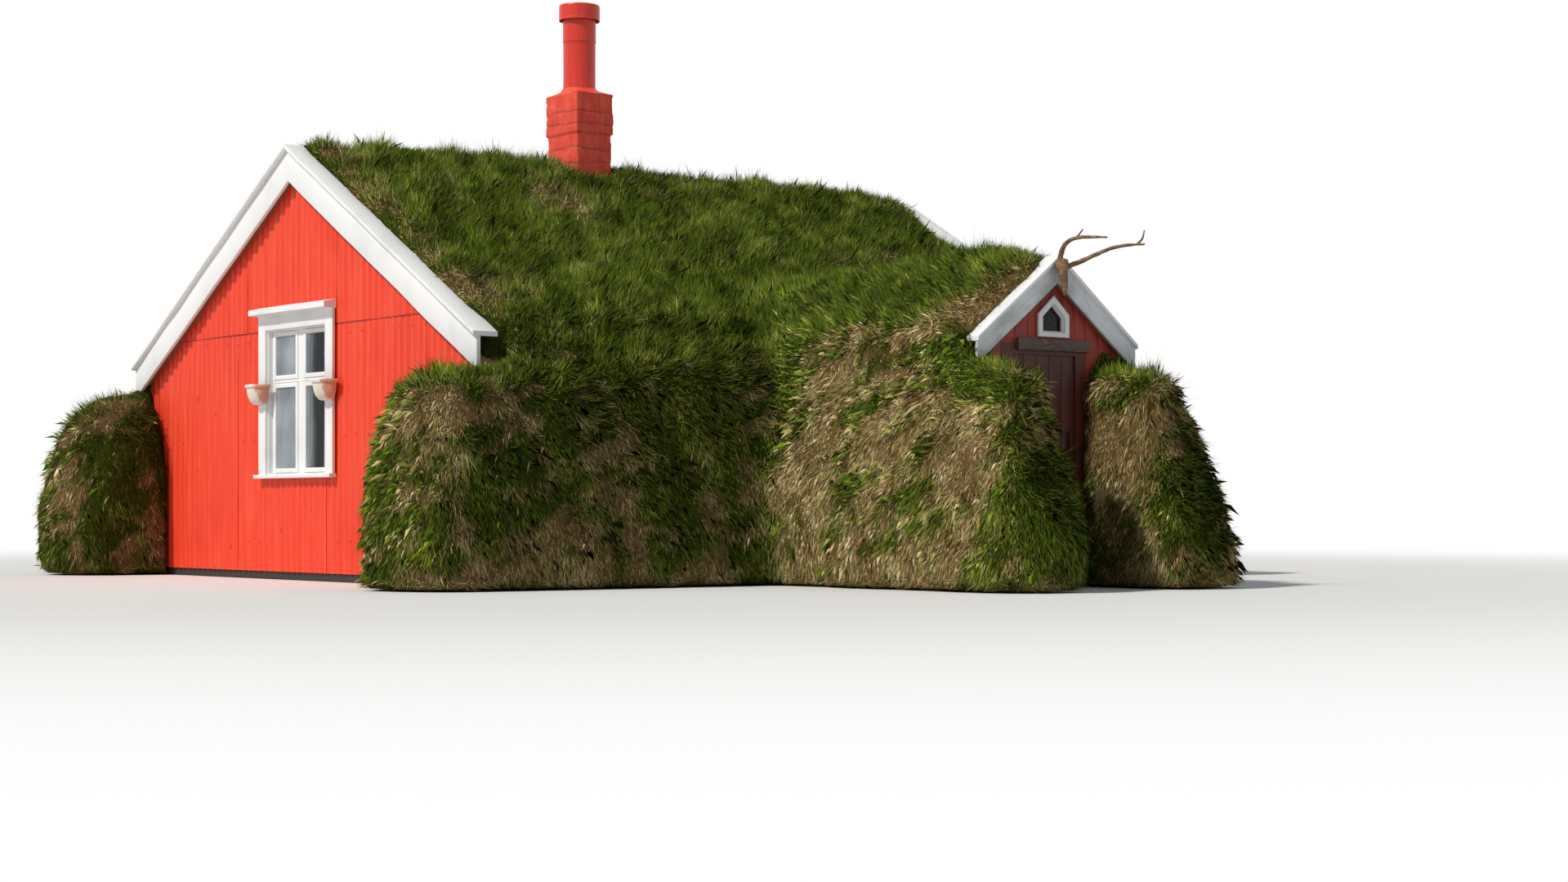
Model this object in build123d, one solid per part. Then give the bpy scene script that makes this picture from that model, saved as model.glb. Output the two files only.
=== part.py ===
from build123d import *
from functools import cache
import math
import os

# Small turf house: a timber room with corrugated gables, wrapped in turf walls and a turf roof,
# and a turf porch at right angles to it. Millimetres. X runs along the ridge, the porch looks to -Y,
# and the origin is on the ground under the middle of the room.

# Driving dimensions of the main house
HOUSE_LENGTH = 6380          # between the outer faces of the two gables' barge boards
HALF_WIDTH = 2840            # from the ridge to the end of a barge board
RIDGE_HEIGHT = 3410          # top of the verge boards at the ridge
ROOF_SLOPE = 0.565           # rise over run
BARGE_DEPTH = 250
BARGE_THICK = 30
CAP_THICK = 30
CAP_WIDTH = 200
CAP_OVERHANG = 35
ROOF_TURF = 270              # upright thickness of the turf on the roof
TURF_ABOVE_CAP = 60
BOARD_THICK = 35
GABLE_SETBACK = 90           # from the barge's face to the crests of the cladding
SHEET_DEPTH = 22
GABLE_WALL_THICK = 120
GABLE_HALF_WIDTH = 2750
ROOM_HALF_WIDTH = 2150
LINING_THICK = 40
FLOOR_THICK = 100

# Turf walls
WALL_CREST = 2840            # from the ridge to the middle of the rounded wall ends
WALL_FACE = ((540, 0), (525, 600), (450, 1120), (310, 1410), (120, 1560))   # reach from the crest, height
WALL_TOP_RADIUS, WALL_TOP = WALL_FACE[-1]
WALL_NOSE_REACH = 270        # centre of the rounded end in front of the barge's face
NOSE_SIDES = 16

# Corrugated sheets
WAVE_PITCH = 94.5
WAVE_FLATS = 4               # crest, side, hollow and side
SHEET_THICK = 2.5
LAP_HEIGHT = 1980
LAP_LENGTH = 80
SHEET_FOOT = 60

# Gable window
WINDOW_HALF = 500
WINDOW_FOOT = 830
WINDOW_HEAD = 1980
CASING_WIDTH = 120
CASING_THICK = 25
CORNICE_REACH = 80            # in front of the casing
CORNICE_HEIGHTS = (45, 70)    # at its front and at the wall
CORNICE_LIP = 20              # past the casing's sides
SILL_REACH = 35
SILL_THICK = 30
SASH_THICK = 40
STILE_WIDTH = 75
TRANSOM_FOOT = 1520
TRANSOM_HEAD = 1620
LIGHT_MARGIN = 50             # from the sash's head and foot to the lights
GLASS_THICK = 4
GLASS_INSET = 12
CURTAIN_SIZE = (36, 380)      # depth of the folds and width of a gathered curtain
CURTAIN_PLACE = 290           # middle of a curtain from the middle of the window

# Half-round wall pots at the window's sides
POT_PLACE = (560, 1390)       # from the middle of the gable, height of the foot
POT_RADIUS = 115
POT_HEIGHT = 160
POT_RIM = 26
POT_WALL = 12

# Chimney
CHIMNEY_X = -460
CHIMNEY_SIZE = (370, 490)     # of the wider head
CHIMNEY_STEP = 12             # the shaft under the head is this much narrower on each side
CHIMNEY_NECK = 3710
CHIMNEY_TOP = 4050
CHIMNEY_CROWN = 35
FLUE_RADIUS = 136
FLUE_WALL = 6
FLUE_LAP = 4                 # the upper length is this much wider than the lower
FLUE_BEAD = 7
FLUE_SEAM = 4510
FLUE_TOP = 4725
COWL_RADIUS = 172
COWL_FOOT = 4690
COWL_TOP = 4832
COWL_SKIN = 5
COWL_KNOB = 13

# Porch
PORCH_X = 190                # middle of the porch gable
PASSAGE_X = 110              # middle of the passage and the door
PASSAGE_HALF = 410
PORCH_FACE = 5130            # from the ridge to the outer face of the porch barge
PORCH_RIDGE = 2350
PORCH_SLOPE = 0.773
PORCH_HALF = 770
PORCH_BARGE_DEPTH = 190
PORCH_BARGE_THICK = 25
PORCH_CAP_THICK = 25
PORCH_CAP_WIDTH = 153
PORCH_CAP_OVERHANG = 20
PORCH_TURF_ABOVE = 90
PORCH_TURF = 240
PORCH_BOARDS = 32
PORCH_TURF_HALF = 850
FLANK_BASE_HALF = 1130
FLANK_TOP = 1590
# A flank's front end: places of its plan, from its inner side and from the ridge, and of its leaning face,
# from the ridge and the ground
FLANK_PLAN = ((0, 5000), (0, 5950), (60, 5980), (400, 5965), (620, 5850), (725, 5600), (725, 5000))
FLANK_FACE = ((5000, 0), (5980, 0), (5980, 400), (5900, 650), (5790, 900), (5690, 1200), (5620, 1430),
              (5470, 1590), (5000, 1700))
FLANK_FRONT = FLANK_FACE[1][0]
PORCH_WALL_FACE = 5065
PORCH_WALL_THICK = 60
PORCH_WALL_FOOT = 1480
PORCH_WALL_HALF = 735
PORCH_LIGHT = (108, 1805, 1915, 2010)     # half width, foot, shoulder and peak
PORCH_CASING = (165, 1770, 1940, 2085)
PORCH_CASING_THICK = 22
SIGN_SIZE = (700, 28, 88)
SIGN_FOOT = 1672

# Door
DOOR_HEAD = 1656
DOOR_HALF = 320
FRAME_HEAD = 64              # depth of the frame over the door
FRAME_SIDE = 30              # from the door's side to the end of the board wall
THRESHOLD = 30
STOP_THICK = 12
STOP_DEPTH = 8
LEAF_GAP = 5
LEAF_THICK = 40
LEAF_INSET = 7
PIN_RADIUS = 7
PIN_LENGTH = 90
PIN_OFFSET = 2               # from the jamb to the hinge's axis
HINGE_HEIGHTS = (420, 1350)
STRAP_SIZE = (380, 4, 42)
PULL_HEIGHT = 960
PULL_SIZE = (34, 140, 18)    # reach, height and width
PULL_SHEET = 7
PULL_INSET = 75

GABLE_FACE = HOUSE_LENGTH / 2
CREST_X = GABLE_FACE - GABLE_SETBACK
WALL_FACE_X = CREST_X - SHEET_DEPTH
WALL_BACK_X = WALL_FACE_X - GABLE_WALL_THICK
UPPER_CREST_X = -CREST_X - SHEET_THICK - 1
TURF_END_X = GABLE_FACE - BARGE_THICK
ROOF_COS = 1 / math.hypot(1, ROOF_SLOPE)
CAP_RISE = CAP_THICK / ROOF_COS
LINING_FACE = ROOM_HALF_WIDTH + LINING_THICK
TURF_UNDER = ROOF_TURF - TURF_ABOVE_CAP
PORCH_COS = 1 / math.hypot(1, PORCH_SLOPE)
PORCH_CAP_RISE = PORCH_CAP_THICK / PORCH_COS
PORCH_UNDER = PORCH_TURF - PORCH_TURF_ABOVE
PORCH_END_Y = PORCH_FACE - PORCH_BARGE_THICK
PORCH_WALL_BACK = PORCH_WALL_FACE - PORCH_WALL_THICK


def roof(distance, offset=0):
    """Height of the verge line of the main roof at a distance from the ridge."""
    return RIDGE_HEIGHT - ROOF_SLOPE * abs(distance) + offset


def porch_roof(distance, offset=0):
    return PORCH_RIDGE - PORCH_SLOPE * abs(distance) + offset


def block(low, high):
    """Box between two corners."""
    size = [b - a for a, b in zip(low, high)]
    return Pos(*low) * Box(*size, align=(Align.MIN, Align.MIN, Align.MIN))


def across(points, x0, x1):
    """Prism of an outline in Y and Z, from x0 to x1."""
    face = make_face(Polyline(*[(0, y, z) for y, z in points], close=True))
    return Pos(x0, 0, 0) * extrude(face, amount=x1 - x0, dir=(1, 0, 0))


def along(points, y0, y1):
    """Prism of an outline in X and Z, from y0 to y1."""
    face = make_face(Polyline(*[(x, 0, z) for x, z in points], close=True))
    return Pos(0, y0, 0) * extrude(face, amount=y1 - y0, dir=(0, 1, 0))


def ring(place, facing, wide, deep, sides):
    """Corners round a place, square to a direction, the first towards +X."""
    side = (Vector(1, 0, 0) - facing * facing.X).normalized()
    up = facing.cross(side)
    turns = [2 * math.pi * i / sides for i in range(sides)]
    return [place + side * (wide * math.cos(turn)) + up * (deep * math.sin(turn)) for turn in turns]


def faceted(rings):
    """Solid through rings of corners, its sides in flat triangles."""
    outlines = [rings[0], rings[-1]]
    for low, high in zip(rings, rings[1:]):
        for i in range(len(low)):
            outlines += [(low[i - 1], low[i], high[i]), (low[i - 1], high[i], high[i - 1])]
    return Solid(Shell([Face(Wire.make_polygon(outline)) for outline in outlines]))


def other_end(shape):
    """The same piece at the right gable."""
    return mirror(shape, about=Plane.YZ)


def back_side(shape):
    return mirror(shape, about=Plane.XZ)


# Timber shell

def main_floor():
    return block((-WALL_BACK_X, -ROOM_HALF_WIDTH, 0), (WALL_BACK_X, ROOM_HALF_WIDTH, FLOOR_THICK))


def lining(x0, x1, foot=0):
    head_in = roof(ROOM_HALF_WIDTH, -TURF_UNDER - BOARD_THICK)
    head_out = roof(LINING_FACE, -TURF_UNDER - BOARD_THICK)
    outline = [(-ROOM_HALF_WIDTH, foot), (-ROOM_HALF_WIDTH, head_in),
               (-LINING_FACE, head_out), (-LINING_FACE, foot)]
    return across(outline, x0, x1)


def front_board_walls():
    left = lining(-WALL_BACK_X, PASSAGE_X - DOOR_HALF - FRAME_SIDE)
    right = lining(PASSAGE_X + DOOR_HALF + FRAME_SIDE, WALL_BACK_X)
    return Compound([left, right])


def front_lintel():
    reach = DOOR_HALF + FRAME_SIDE
    return lining(PASSAGE_X - reach, PASSAGE_X + reach, foot=DOOR_HEAD + FRAME_HEAD)


def back_board_wall():
    return back_side(lining(-WALL_BACK_X, WALL_BACK_X))


def gable_outline(half, foot, offset):
    eave = roof(half, offset)
    return [(-half, foot), (-half, eave), (0, roof(0, offset)), (half, eave), (half, foot)]


def window_hole(x0, x1, margin=0):
    half = WINDOW_HALF + margin
    return block((x0, -half, WINDOW_FOOT - margin), (x1, half, WINDOW_HEAD + margin))


def gable_wall():
    outline = gable_outline(GABLE_HALF_WIDTH, 0, -TURF_UNDER - BOARD_THICK)
    return across(outline, -WALL_FACE_X, -WALL_BACK_X) - window_hole(-WALL_FACE_X - 1, -WALL_BACK_X + 1)


def corrugated(crest_x, foot, head=RIDGE_HEIGHT):
    """One course of corrugated sheet: a cosine wave in flats, extruded upwards, cut to the gable."""
    depth = SHEET_DEPTH - SHEET_THICK
    steps = WAVE_FLATS * math.ceil(2 * GABLE_HALF_WIDTH / WAVE_PITCH)
    start = -steps * WAVE_PITCH / WAVE_FLATS / 2

    def wave(shift):
        places = []
        for i in range(steps + 1):
            swing = math.cos(2 * math.pi * (i + 0.5) / WAVE_FLATS) / math.cos(math.pi / WAVE_FLATS)
            places.append((crest_x + shift + depth / 2 * (1 - swing), start + i * WAVE_PITCH / WAVE_FLATS))
        return places

    outline = make_face(Polyline(*(wave(0) + wave(SHEET_THICK)[::-1]), close=True))
    sheet = Pos(0, 0, foot) * extrude(outline, amount=head - foot, dir=(0, 0, 1))
    under_boards = -TURF_UNDER - BOARD_THICK - 2
    sheet &= across(gable_outline(GABLE_HALF_WIDTH - 5, 0, under_boards), -GABLE_FACE, -WALL_BACK_X)
    return (sheet - window_hole(-GABLE_FACE, -WALL_BACK_X, margin=CASING_WIDTH / 2)).solid()


def left_gable_sheets():
    """Two courses, the upper lapped over the lower."""
    lower = corrugated(-CREST_X, SHEET_FOOT, head=LAP_HEIGHT + LAP_LENGTH)
    return Compound([lower, corrugated(UPPER_CREST_X, LAP_HEIGHT)])


def right_gable_sheets():
    """The gable away from the porch, plain: sheets of full height."""
    return other_end(corrugated(UPPER_CREST_X, SHEET_FOOT))


@cache
def barges():
    top, foot = -CAP_RISE, -CAP_RISE - BARGE_DEPTH
    outline = [(-HALF_WIDTH, roof(HALF_WIDTH, foot)), (-HALF_WIDTH, roof(HALF_WIDTH, top)), (0, roof(0, top)),
               (HALF_WIDTH, roof(HALF_WIDTH, top)), (HALF_WIDTH, roof(HALF_WIDTH, foot)), (0, roof(0, foot))]
    return across(outline, -GABLE_FACE, -TURF_END_X)


def verge_caps():
    reach = HALF_WIDTH + 15
    outline = [(-reach, roof(reach, -CAP_RISE)), (-reach, roof(reach)), (0, roof(0)),
               (reach, roof(reach)), (reach, roof(reach, -CAP_RISE)), (0, roof(0, -CAP_RISE))]
    return across(outline, -GABLE_FACE - CAP_OVERHANG, -GABLE_FACE - CAP_OVERHANG + CAP_WIDTH)


# Turf

def turf_run(x0, x1):
    """Straight run of the front turf wall: a battered face that bulges, back to the room's lining."""
    head = roof(LINING_FACE, -TURF_UNDER - BOARD_THICK)
    outline = [(-WALL_CREST - reach, height) for reach, height in WALL_FACE]
    return across(outline + [(-HALF_WIDTH, WALL_TOP), (-LINING_FACE, head), (-LINING_FACE, 0)], x0, x1)


@cache
def turf_nose():
    """Rounded end of the front turf wall, wrapped round the gable's corner."""
    nose_x = -GABLE_FACE - WALL_NOSE_REACH
    dome = faceted([ring(Vector(nose_x, -WALL_CREST, height), Vector(0, 0, 1), reach, reach, NOSE_SIDES)
                    for reach, height in WALL_FACE])
    section = [(side * reach - WALL_CREST, height) for side, order in ((-1, 1), (1, -1))
               for reach, height in WALL_FACE[::order]]
    timber = block((-CREST_X - 8, -GABLE_HALF_WIDTH, 0), (-WALL_BACK_X + 50, 0, RIDGE_HEIGHT))
    return dome + across(section, nose_x, -WALL_BACK_X) - timber - barges()


@cache
def turf_wall_front_left():
    inner_x = PASSAGE_X - PASSAGE_HALF
    return turf_run(-WALL_BACK_X, inner_x) + turf_nose()


@cache
def turf_wall_front_right():
    inner_x = PASSAGE_X + PASSAGE_HALF
    return turf_run(inner_x, WALL_BACK_X) + other_end(turf_nose())


@cache
def turf_wall_back():
    return back_side(turf_run(-WALL_BACK_X, WALL_BACK_X) + turf_nose() + other_end(turf_nose()))


def roof_slab(top, bottom, half, x0, x1, shoulder=False):
    """One slope of the main roof between two offsets from the verge line, on the porch side."""
    points = [(0, 0, roof(0, bottom)), (0, 0, roof(0, top))]
    if not shoulder:
        points += [(0, -half, roof(half, top)), (0, -half, roof(half, bottom))]
        face = make_face(Polyline(*points, close=True))
    else:
        edge = WALL_CREST + WALL_TOP_RADIUS
        start = half - 60
        bulge = (roof(start, top) + WALL_TOP) / 2 + 45
        arc = ThreePointArc((0, -start, roof(start, top)), (0, -edge + 40, bulge), (0, -edge, WALL_TOP))
        line = Polyline((0, -edge, WALL_TOP), (0, -HALF_WIDTH, WALL_TOP),
                        (0, -HALF_WIDTH, roof(HALF_WIDTH, bottom)), (0, 0, roof(0, bottom)),
                        (0, 0, roof(0, top)), (0, -start, roof(start, top)))
        face = make_face(Wire([arc] + line.edges()))
    return Pos(x0, 0, 0) * extrude(face, amount=x1 - x0, dir=(1, 0, 0))


def chimney_shaft(foot, head, inset=0):
    half_x, half_y = CHIMNEY_SIZE[0] / 2 - inset, CHIMNEY_SIZE[1] / 2 - inset
    return block((CHIMNEY_X - half_x, -half_y, foot), (CHIMNEY_X + half_x, half_y, head))


@cache
def porch_cut():
    """Everything under the top of the porch's turf, in front of the room."""
    half, eave = PORCH_TURF_HALF, porch_roof(PORCH_TURF_HALF, PORCH_TURF_ABOVE)
    peak = (PORCH_X, porch_roof(0, PORCH_TURF_ABOVE))
    outline = [(PORCH_X - half, 0), (PORCH_X - half, eave), peak, (PORCH_X + half, eave), (PORCH_X + half, 0)]
    return along(outline, -PORCH_FACE, -LINING_FACE)


def main_turf_slope():
    end_x = GABLE_FACE - CAP_WIDTH + CAP_OVERHANG
    middle = roof_slab(TURF_ABOVE_CAP, -TURF_UNDER, HALF_WIDTH, -end_x, end_x, shoulder=True)
    edge = roof_slab(-CAP_RISE, -TURF_UNDER, HALF_WIDTH, -TURF_END_X, TURF_END_X)
    return middle + edge - chimney_shaft(0, CHIMNEY_TOP, CHIMNEY_STEP)


@cache
def turf_roof_front():
    return main_turf_slope() - porch_cut()


def turf_roof_back():
    return back_side(main_turf_slope())


def main_boards():
    slab = roof_slab(-TURF_UNDER, -TURF_UNDER - BOARD_THICK, HALF_WIDTH, -TURF_END_X, TURF_END_X)
    return slab - chimney_shaft(0, CHIMNEY_TOP, CHIMNEY_STEP)


@cache
def roof_boards_front():
    return main_boards() - porch_cut()


def roof_boards_back():
    return back_side(main_boards())


# Chimney

def chimney_stack():
    """Painted block shaft with a slightly wider head and a sloped crown."""
    head = chimney_shaft(CHIMNEY_NECK, CHIMNEY_TOP)
    crown = extrude(Pos(CHIMNEY_X, 0, CHIMNEY_TOP) * Rectangle(*CHIMNEY_SIZE), amount=CHIMNEY_CROWN, taper=55)
    return chimney_shaft(FLOOR_THICK, CHIMNEY_NECK, CHIMNEY_STEP) + head + crown


def turned(profile):
    """Round piece on the flue's axis from an outline of radii and heights."""
    face = make_face(Polyline(*[(radius, 0, height) for radius, height in profile], close=True))
    return Pos(CHIMNEY_X, 0, 0) * revolve(face, Axis.Z, 360)


def flue_pipe():
    """Two lengths of pipe, the upper slipped over the lower, with a rolled edge at the mouth."""
    foot, inside, upper = CHIMNEY_TOP + CHIMNEY_CROWN, FLUE_RADIUS - FLUE_WALL, FLUE_RADIUS + FLUE_LAP
    bead = upper + FLUE_BEAD
    return turned([(inside, foot), (inside, FLUE_TOP), (upper, FLUE_TOP), (bead, FLUE_TOP - FLUE_BEAD),
                   (upper, FLUE_TOP - 2 * FLUE_BEAD), (upper, FLUE_SEAM), (FLUE_RADIUS, FLUE_SEAM),
                   (FLUE_RADIUS, foot)])


def flue_cowl():
    """Cap over the flue's mouth, held by three lugs, with a knob where its top is riveted."""
    inside, under = COWL_RADIUS - COWL_SKIN, COWL_TOP - 2 * COWL_SKIN
    knob = 3 * COWL_KNOB
    cowl = turned([(0, COWL_TOP + COWL_KNOB), (knob, COWL_TOP + COWL_KNOB), (knob, COWL_TOP),
                   (COWL_RADIUS, COWL_TOP - 9), (COWL_RADIUS, COWL_FOOT), (inside, COWL_FOOT),
                   (inside, under), (0, under)])
    lug = block((FLUE_RADIUS + FLUE_LAP + FLUE_BEAD, -8, COWL_FOOT + 2), (inside + 2, 8, COWL_FOOT + 30))
    for turn in range(3):
        cowl += Pos(CHIMNEY_X, 0, 0) * Rot(0, 0, 120 * turn) * lug
    return cowl


# Gable window

def casing_face():
    """X of the back of the casing, on the sheets' crests."""
    return -CREST_X - SHEET_THICK - 2


def window_casing():
    x1 = casing_face()
    x0 = x1 - CASING_THICK
    outer, head = WINDOW_HALF + CASING_WIDTH, WINDOW_HEAD + CASING_WIDTH
    board = block((x0, -outer, WINDOW_FOOT), (x1, outer, head)) - window_hole(x0 - 1, x1 + 1)
    front, wall = CORNICE_HEIGHTS
    cornice = along([(x0 - CORNICE_REACH, head), (x0 - CORNICE_REACH, head + front), (x1, head + wall),
                     (x1, head - 10), (x0, head - 10)], -outer - CORNICE_LIP, outer + CORNICE_LIP)
    sill = block((x0 - SILL_REACH, -outer - CORNICE_LIP, WINDOW_FOOT - SILL_THICK),
                 (x1, outer + CORNICE_LIP, WINDOW_FOOT))
    return board + cornice + sill


def sash_panes(x0, x1):
    """The four lights of the window."""
    panes = []
    for low, high in ((WINDOW_FOOT + LIGHT_MARGIN, TRANSOM_FOOT), (TRANSOM_HEAD, WINDOW_HEAD - LIGHT_MARGIN)):
        for side in (-1, 1):
            y0, y1 = sorted((side * (STILE_WIDTH + 10), side * (WINDOW_HALF - STILE_WIDTH)))
            panes.append(block((x0, y0, low), (x1, y1, high)))
    return panes


def window_sash():
    x0 = -WALL_FACE_X
    frame = block((x0, -WINDOW_HALF, WINDOW_FOOT), (x0 + SASH_THICK, WINDOW_HALF, WINDOW_HEAD))
    for pane in sash_panes(x0 - 1, x0 + SASH_THICK + 1):
        frame -= pane
    return frame


def window_glass():
    x0 = -WALL_FACE_X + GLASS_INSET
    return Compound(sash_panes(x0, x0 + GLASS_THICK))


def window_curtains():
    x0 = -WALL_FACE_X + SASH_THICK + 15
    deep, wide = CURTAIN_SIZE
    cloths = []
    for place in (-CURTAIN_PLACE, CURTAIN_PLACE):
        low = (x0, place - wide / 2, WINDOW_FOOT + 40)
        cloths.append(block(low, (x0 + deep, place + wide / 2, WINDOW_HEAD)))
    return Compound(cloths + [other_end(cloth) for cloth in cloths])


def window_pots():
    """Half bowls hung with their flat backs on the casing, filled with soil to under the rim."""
    rim, soil = POT_RADIUS - POT_WALL, POT_HEIGHT - POT_RIM
    profile = [(0, 0), (POT_RADIUS / 2, 0), (rim - 20, POT_HEIGHT / 3), (rim, soil), (POT_RADIUS, soil),
               (POT_RADIUS, POT_HEIGHT), (rim - 3, POT_HEIGHT), (rim - 3, soil), (0, soil)]
    bowl = revolve(make_face(Polyline(*[(x, 0, z) for x, z in profile], close=True)), Axis.Z, 360)
    bowl &= block((-POT_RADIUS, -POT_RADIUS, 0), (0, POT_RADIUS, POT_HEIGHT))
    place, foot = POT_PLACE
    return Compound([Pos(casing_face() - CASING_THICK, side * place, foot) * bowl for side in (-1, 1)])


# Porch

def passage_block(foot, head, y0, y1, half=PASSAGE_HALF):
    return block((PASSAGE_X - half, y0, foot), (PASSAGE_X + half, y1, head))


def porch_floor():
    return passage_block(0, FLOOR_THICK, -PORCH_WALL_FACE, -LINING_FACE)


def flank_outline(start, points):
    """Outline of a flank: its bulging outer face from the ground, then straight sides."""
    base, bulge, eave = points[:3]
    outer = ThreePointArc(*[(x, start, z) for x, z in (base, bulge, eave)])
    rest = Polyline(*[(x, start, z) for x, z in points[2:] + points[:1]])
    return make_face(Wire([outer] + rest.edges()))


def flank_end(sign):
    """Space that the front end of a flank keeps to: leaning back, its outer corner rounded."""
    inner = PASSAGE_X + sign * PASSAGE_HALF
    plan = make_face(Polyline(*[(inner + sign * x, -y, 0) for x, y in FLANK_PLAN], close=True))
    x0, x1 = sorted((inner, inner + sign * FLANK_BASE_HALF))
    lean = across([(-y, z) for y, z in FLANK_FACE], x0, x1)
    return lean & extrude(plan, amount=RIDGE_HEIGHT, dir=(0, 0, 1))


@cache
def flank_side(sign):
    """Turf wall beside the passage: sign -1 is the left one."""
    inner = PASSAGE_X + sign * PASSAGE_HALF
    base = (PASSAGE_X + sign * FLANK_BASE_HALF, 0)
    bulge = (base[0] - sign * 45, 800)
    eave_x = PORCH_X + sign * PORCH_TURF_HALF
    under = -PORCH_UNDER - PORCH_BOARDS
    eave_z = porch_roof(PORCH_HALF, under)
    tall = [base, bulge, (eave_x, eave_z), (PORCH_X + sign * PORCH_HALF, eave_z),
            (inner, porch_roof(inner - PORCH_X, under)), (inner, 0)]
    body = extrude(flank_outline(-LINING_FACE, tall), amount=PORCH_WALL_BACK - LINING_FACE, dir=(0, -1, 0))
    low = [base, bulge, (eave_x, eave_z - 60), (inner + sign * 400, eave_z + 45),
           (inner + sign * 230, FLANK_TOP), (inner + sign * 60, FLANK_TOP - 40),
           (inner, FLANK_TOP - 130), (inner, 0)]
    head = extrude(flank_outline(-PORCH_WALL_BACK, low), amount=FLANK_FRONT - PORCH_WALL_BACK, dir=(0, -1, 0))
    head &= flank_end(sign)
    main = turf_wall_front_left() if sign < 0 else turf_wall_front_right()
    wall = body + head - porch_gable_wall() - porch_barges() - porch_roof_boards()
    return wall - main - turf_roof_front() - roof_boards_front()


def porch_gable_outline():
    under = -PORCH_UNDER - PORCH_BOARDS
    shoulder, peak = porch_roof(PORCH_WALL_HALF, under), porch_roof(0, under)
    return pentagon(PORCH_WALL_HALF, PORCH_WALL_FOOT, shoulder, peak)


def porch_shell(top, bottom, half, y0, y1):
    """Both slopes of the porch roof between two offsets from its verge line."""
    return along([(PORCH_X - half, porch_roof(half, bottom)), (PORCH_X - half, porch_roof(half, top)),
                  (PORCH_X, porch_roof(0, top)), (PORCH_X + half, porch_roof(half, top)),
                  (PORCH_X + half, porch_roof(half, bottom)), (PORCH_X, porch_roof(0, bottom))], y0, y1)


def porch_turf_roof():
    front_y, back_y = -PORCH_FACE + PORCH_CAP_WIDTH - PORCH_CAP_OVERHANG, -HALF_WIDTH / 2
    turf = porch_shell(PORCH_TURF_ABOVE, -PORCH_UNDER, PORCH_TURF_HALF, front_y, back_y)
    turf += porch_shell(-PORCH_CAP_RISE, -PORCH_UNDER, PORCH_HALF, -PORCH_END_Y, back_y)
    eave_z = porch_roof(PORCH_HALF, -PORCH_UNDER - PORCH_BOARDS)
    for sign in (-1, 1):
        x0, x1 = sorted((PORCH_X + sign * PORCH_HALF, PORCH_X + sign * PORCH_TURF_HALF))
        turf += block((x0, front_y, eave_z), (x1, -LINING_FACE, porch_roof(PORCH_TURF_HALF)))
    eave, peak = roof(LINING_FACE, TURF_ABOVE_CAP), roof(0, TURF_ABOVE_CAP)
    room = across([(-LINING_FACE, 0), (-LINING_FACE, eave), (0, peak), (0, 0)], -GABLE_FACE, GABLE_FACE)
    turf = turf - room - turf_roof_front() - turf_wall_front_left() - turf_wall_front_right()
    return turf - flank_side(-1) - flank_side(1)


@cache
def porch_roof_boards():
    boards = porch_shell(-PORCH_UNDER, -PORCH_UNDER - PORCH_BOARDS, PORCH_HALF, -PORCH_END_Y, -LINING_FACE)
    return boards - turf_wall_front_left() - turf_wall_front_right()


def pentagon(half, foot, shoulder, peak):
    left, right = PORCH_X - half, PORCH_X + half
    return [(left, foot), (left, shoulder), (PORCH_X, peak), (right, shoulder), (right, foot)]


@cache
def porch_gable_wall():
    wall = along(porch_gable_outline(), -PORCH_WALL_FACE, -PORCH_WALL_BACK)
    wall -= passage_block(0, DOOR_HEAD + FRAME_HEAD, -PORCH_FACE, -PORCH_WALL_BACK + 1)
    return wall - along(pentagon(*PORCH_LIGHT), -PORCH_FACE, -PORCH_WALL_BACK + 1)


@cache
def porch_barges():
    top, foot = -PORCH_CAP_RISE, -PORCH_CAP_RISE - PORCH_BARGE_DEPTH
    return porch_shell(top, foot, PORCH_HALF, -PORCH_FACE, -PORCH_END_Y)


@cache
def porch_verge_caps():
    y0 = -PORCH_FACE - PORCH_CAP_OVERHANG
    return porch_shell(0, -PORCH_CAP_RISE, PORCH_HALF + 10, y0, y0 + PORCH_CAP_WIDTH)


def porch_window_casing():
    y0, y1 = -PORCH_WALL_FACE - PORCH_CASING_THICK, -PORCH_WALL_FACE
    return along(pentagon(*PORCH_CASING), y0, y1) - along(pentagon(*PORCH_LIGHT), y0 - 1, y1 + 1)


def porch_window_glass():
    return along(pentagon(*PORCH_LIGHT), -PORCH_WALL_FACE + 20, -PORCH_WALL_FACE + 20 + GLASS_THICK)


def porch_sign():
    wide, thick, high = SIGN_SIZE
    return block((PORCH_X - wide / 2, -PORCH_WALL_FACE - thick, SIGN_FOOT),
                 (PORCH_X + wide / 2, -PORCH_WALL_FACE, SIGN_FOOT + high))


def door_frame():
    y0, y1 = -PORCH_WALL_FACE, -PORCH_WALL_BACK
    sill = FLOOR_THICK + THRESHOLD
    outer = passage_block(FLOOR_THICK, DOOR_HEAD + FRAME_HEAD, y0, y1)
    way = passage_block(sill, DOOR_HEAD, y0 + STOP_DEPTH, y1 + 1, half=DOOR_HALF)
    stop = passage_block(sill, DOOR_HEAD - STOP_THICK, y0 - 1, y1, half=DOOR_HALF - STOP_THICK)
    return outer - way - stop


def door_leaf():
    y1 = -PORCH_WALL_BACK - LEAF_INSET
    return passage_block(FLOOR_THICK + THRESHOLD + LEAF_GAP, DOOR_HEAD - LEAF_GAP, y1 - LEAF_THICK, y1,
                         half=DOOR_HALF - LEAF_GAP)


def hinge_axis():
    """Place of the door's hinge axis in X and Y."""
    return PASSAGE_X - DOOR_HALF + PIN_OFFSET, -PORCH_WALL_BACK + PIN_RADIUS


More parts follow.
